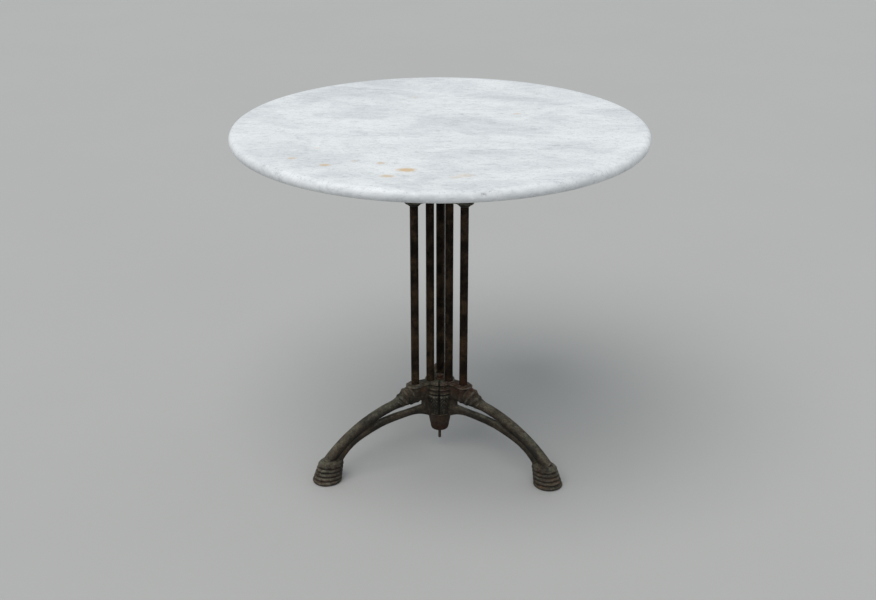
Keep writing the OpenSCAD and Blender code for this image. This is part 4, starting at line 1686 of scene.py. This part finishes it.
def build_fasteners(context):
    scene = context.scene
    sizes, finish = scene.table_fastener, scene.table_finish
    steel = steel_material(finish)
    across, bolt_r = sizes.head / MM, sizes.bolt / MM / 2
    build_bolt("lower_centre_bolt", "hub_bolt", HUB_WASHER_HIGH.z, HUB_BOLT_HIGH.z, HUB_BOLT_LOW.z,
               False, sizes, steel)
    build_bolt("upper_centre_bolt", "top_bolt", TOP_WASHER_LOW.z, TOP_BOLT_LOW.z, TOP_BOLT_HIGH.z,
               True, sizes, steel)
    for name, node, low, high in (
        ("lower_nut", "hub_nut", HUB_NUT_LOW.z, HUB_NUT_HIGH.z),
        ("upper_nut", "top_nut", TOP_NUT_LOW.z, TOP_NUT_HIGH.z),
    ):
        nut = mesh_object(name, *hexagon(across, low, high, bolt_r + 0.05))
        outwards(nut)
        finish_piece(nut, steel, [node], 35.0)
    for name, node, low, high in (
        ("lower_washer", "hub_bolt_washer", HUB_WASHER_LOW, HUB_WASHER_HIGH),
        ("upper_washer", "top_bolt_washer", TOP_WASHER_LOW, TOP_WASHER_HIGH),
    ):
        verts, faces = washer(high.x, bolt_r + 0.3, high.z - low.z)
        disc = mesh_object(name, np.asarray(verts) + np.array([0, 0, low.z]), faces)
        outwards(disc)
        finish_piece(disc, steel, [node], 35.0)


def lying(verts):
    """Turns a piece drawn upright so that it lies along Y."""
    verts = np.asarray(verts)
    return np.stack([verts[:, 0], verts[:, 2], verts[:, 1]], 1)


def merged_objects(name, objs):
    parts = [(coordinates(o.data), [tuple(p.vertices) for p in o.data.polygons]) for o in objs]
    obj = joined(name, parts)
    for o in objs:
        remove(o)
    return outwards(obj)


def build_pins(context):
    """Twelve cross pins with domed ends, six to each hub."""
    scene = context.scene
    sizes, column = scene.table_fastener, scene.table_column
    steel = steel_material(scene.table_finish)
    r = sizes.pin / MM / 2
    inner, outer = column.inner_circle / MM, column.outer_circle / MM
    for name, node, low, high in (
        ("lower_pins", "lower_tube_pins", LOWER_PINS_LOW, LOWER_PINS_HIGH),
        ("upper_pins", "upper_tube_pins", UPPER_PINS_LOW, UPPER_PINS_HIGH),
    ):
        level = (low.z + high.z) / 2
        rings = []
        for circle, half in ((inner, 17.2), (outer, BOSS_R - 0.3)):
            profile = [(r * 0.55, -half), (r * 0.88, -half + 0.35), (r, -half + 0.9),
                       (r, half - 0.9), (r * 0.88, half - 0.35), (r * 0.55, half)]
            verts, faces = turned(profile, 24)
            pin = mesh_object("pin", lying(verts), faces)
            rings.append(around("ring", pin, circle, level, steel))
        finish_piece(merged_objects(name, rings), steel, [node], 40.0)


def build_slab_fixings(context):
    """Screws with round heads and washers under the slab, and the lead plugs that hold them."""
    scene = context.scene
    sizes, finish = scene.table_fastener, scene.table_finish
    steel, lead = steel_material(finish), lead_material(finish)
    shank_r, head_r = sizes.screw / MM / 2, sizes.screw_head / MM
    seat = SCREW_WASHERS_LOW.z
    head = seat - SCREWS_LOW.z
    shank = SCREWS_HIGH.z - seat
    dome = [(head_r * math.sin(a), -head * math.cos(a)) for a in np.linspace(0.15, math.pi / 2, 9)]
    profile = dome + [(shank_r, -0.02), (shank_r, shank - 2.0), (shank_r * 0.4, shank)]
    screw = mesh_object("screw", *turned(profile, 40))
    outwards(screw)
    slot_cut = mesh_object("slot", *loft([
        [(-head_r - 1, -0.5, z), (head_r + 1, -0.5, z), (head_r + 1, 0.5, z), (-head_r - 1, 0.5, z)]
        for z in (-head - 1, -head + 1.3)
    ]))
    combine(screw, slot_cut, "DIFFERENCE")
    screws = outwards(around("slab_screws", screw, PAD_CIRCLE_R, seat, steel))
    finish_piece(screws, steel, ["marble_screws"], 35.0)
    thick = SCREW_WASHERS_HIGH.z - SCREW_WASHERS_LOW.z
    disc = mesh_object("disc", *washer(SCREW_WASHER_R, shank_r + 0.3, thick))
    discs = outwards(around("slab_screw_washers", disc, PAD_CIRCLE_R, seat, steel))
    finish_piece(discs, steel, ["marble_screw_washers"], 35.0)
    tall, plug_r = PLUGS_HIGH.z - PLUGS_LOW.z, PLUGS_HIGH.y - PAD_CIRCLE_R
    profile = [(shank_r + 0.05, 0), (plug_r - 0.3, 0), (plug_r, 0.3), (plug_r, tall - 0.3),
               (plug_r - 0.3, tall), (0.4, tall), (0.4, tall - 1.0), (shank_r + 0.05, tall - 1.0)]
    plug = mesh_object("plug", *turned(profile, 40, loop=True))
    plugs = outwards(around("lead_plugs", plug, PAD_CIRCLE_R, PLUGS_LOW.z, lead))
    finish_piece(plugs, lead, ["marble_anchors"], 35.0)


# ---------------------------------------------------------------------------
# Stage


def build_stage(stage):
    floor = mesh_object(
        "floor", [(-30000, -12000, 0), (30000, -12000, 0), (30000, 40000, 0), (-30000, 40000, 0)],
        [(0, 1, 2, 3)],
    )
    material, tree, shader = new_material("pale_floor")
    at = own_place(tree)
    cloudy = noise_of(tree, at, 1.5, 4.0, 0.6)
    pale = tuple(stage.floor)
    tree.links.new(
        mixed(tree, cloudy, rgba(tuple(0.97 * c for c in pale)), rgba(tuple(1.03 * c for c in pale))),
        shader.inputs["Base Color"],
    )
    shader.inputs["Roughness"].default_value = 0.9
    floor.data.materials.append(material)

    world = bpy.data.worlds.new("soft_sky")
    bpy.context.scene.world = world
    world.use_nodes = True
    back = world.node_tree.nodes["Background"]
    back.inputs["Color"].default_value = rgba(stage.sky)
    back.inputs["Strength"].default_value = stage.sky_strength

    lamp = bpy.data.lights.new("wide_lamp", "SUN")
    lamp.energy = stage.sun_strength
    lamp.angle = math.radians(50)
    lamp.color = (1.0, 0.98, 0.95)
    lamp_object = bpy.data.objects.new("wide_lamp", lamp)
    lamp_object.rotation_euler = (math.radians(24), math.radians(-14), 0)
    bpy.context.scene.collection.objects.link(lamp_object)

    view = bpy.data.cameras.new("camera")
    view.lens = stage.lens
    view.sensor_width = 36.0
    view.clip_end = 200.0
    camera = bpy.data.objects.new("camera", view)
    camera.location = stage.camera
    camera.rotation_euler = (math.pi / 2 - stage.tilt, 0.0, stage.turn)
    bpy.context.scene.collection.objects.link(camera)
    bpy.context.scene.camera = camera
    bpy.context.scene.view_settings.view_transform = "Standard"


# ---------------------------------------------------------------------------
# Operators


class TABLE_OT_slab(bpy.types.Operator):
    """Makes the marble slab"""

    bl_idname = "table.slab"
    bl_label = "Marble slab"

    def execute(self, context):
        build_slab(context.scene.table_slab, context.scene.table_finish)
        return {"FINISHED"}


class TABLE_OT_castings(bpy.types.Operator):
    """Makes the three legs and the three brackets"""

    bl_idname = "table.castings"
    bl_label = "Legs and brackets"

    def execute(self, context):
        build_castings(context)
        return {"FINISHED"}


class TABLE_OT_caps(bpy.types.Operator):
    """Makes the caps that hold the castings together"""

    bl_idname = "table.caps"
    bl_label = "Caps"

    def execute(self, context):
        finish = context.scene.table_finish
        build_cap("lower_cap", "hub_cup", CUP_HIGH.z, CUP_LOW.z, False, finish)
        build_cap("upper_cap", "top_cap", TOP_CAP_LOW.z, TOP_CAP_HIGH.z, True, finish)
        return {"FINISHED"}


class TABLE_OT_tubes(bpy.types.Operator):
    """Makes the six tubes of the column"""

    bl_idname = "table.tubes"
    bl_label = "Column tubes"

    def execute(self, context):
        build_tubes(context)
        return {"FINISHED"}


class TABLE_OT_fasteners(bpy.types.Operator):
    """Makes the centre bolts, their washers and their nuts"""

    bl_idname = "table.fasteners"
    bl_label = "Centre bolts"

    def execute(self, context):
        build_fasteners(context)
        return {"FINISHED"}


class TABLE_OT_pins(bpy.types.Operator):
    """Makes the cross pins that lock the tubes"""

    bl_idname = "table.pins"
    bl_label = "Cross pins"

    def execute(self, context):
        build_pins(context)
        return {"FINISHED"}


class TABLE_OT_slab_fixings(bpy.types.Operator):
    """Makes the screws, washers and lead plugs under the slab"""

    bl_idname = "table.slab_fixings"
    bl_label = "Slab fixings"

    def execute(self, context):
        build_slab_fixings(context)
        return {"FINISHED"}


class TABLE_OT_stage(bpy.types.Operator):
    """Makes the floor, the light and the camera"""

    bl_idname = "table.stage"
    bl_label = "Stage"

    def execute(self, context):
        build_stage(context.scene.table_stage)
        return {"FINISHED"}


class TABLE_PT_panel(bpy.types.Panel):
    bl_idname = "TABLE_PT_panel"
    bl_label = "Cafe table"
    bl_space_type = "VIEW_3D"
    bl_region_type = "UI"
    bl_category = "Table"

    def draw(self, context):
        layout = self.layout
        for operator in OPERATORS:
            layout.operator(operator.bl_idname)
        for name, title in SETTINGS:
            box = layout.box()
            box.label(text=title)
            group = getattr(context.scene, name)
            for key in type(group).__annotations__:
                box.prop(group, key)


OPERATORS = (
    TABLE_OT_slab,
    TABLE_OT_castings,
    TABLE_OT_caps,
    TABLE_OT_tubes,
    TABLE_OT_fasteners,
    TABLE_OT_pins,
    TABLE_OT_slab_fixings,
    TABLE_OT_stage,
)
GROUPS = {
    "table_slab": TableSlabSizes,
    "table_casting": TableCastingSizes,
    "table_column": TableColumnSizes,
    "table_fastener": TableFastenerSizes,
    "table_finish": TableFinishes,
    "table_stage": TableStage,
}
SETTINGS = (
    ("table_slab", "Slab"),
    ("table_casting", "Castings"),
    ("table_column", "Column"),
    ("table_fastener", "Fasteners"),
    ("table_finish", "Finishes"),
    ("table_stage", "Stage"),
)


def register():
    for name, group in GROUPS.items():
        bpy.utils.register_class(group)
        setattr(bpy.types.Scene, name, bpy.props.PointerProperty(type=group))
    for operator in OPERATORS:
        bpy.utils.register_class(operator)
    bpy.utils.register_class(TABLE_PT_panel)


def unregister():
    bpy.utils.unregister_class(TABLE_PT_panel)
    for operator in reversed(OPERATORS):
        bpy.utils.unregister_class(operator)
    for name, group in reversed(GROUPS.items()):
        delattr(bpy.types.Scene, name)
        bpy.utils.unregister_class(group)


def main():
    register()
    bpy.ops.table.slab()
    bpy.ops.table.castings()
    bpy.ops.table.caps()
    bpy.ops.table.tubes()
    bpy.ops.table.fasteners()
    bpy.ops.table.pins()
    bpy.ops.table.slab_fixings()
    bpy.ops.table.stage()


if __name__ == "__main__":
    main()
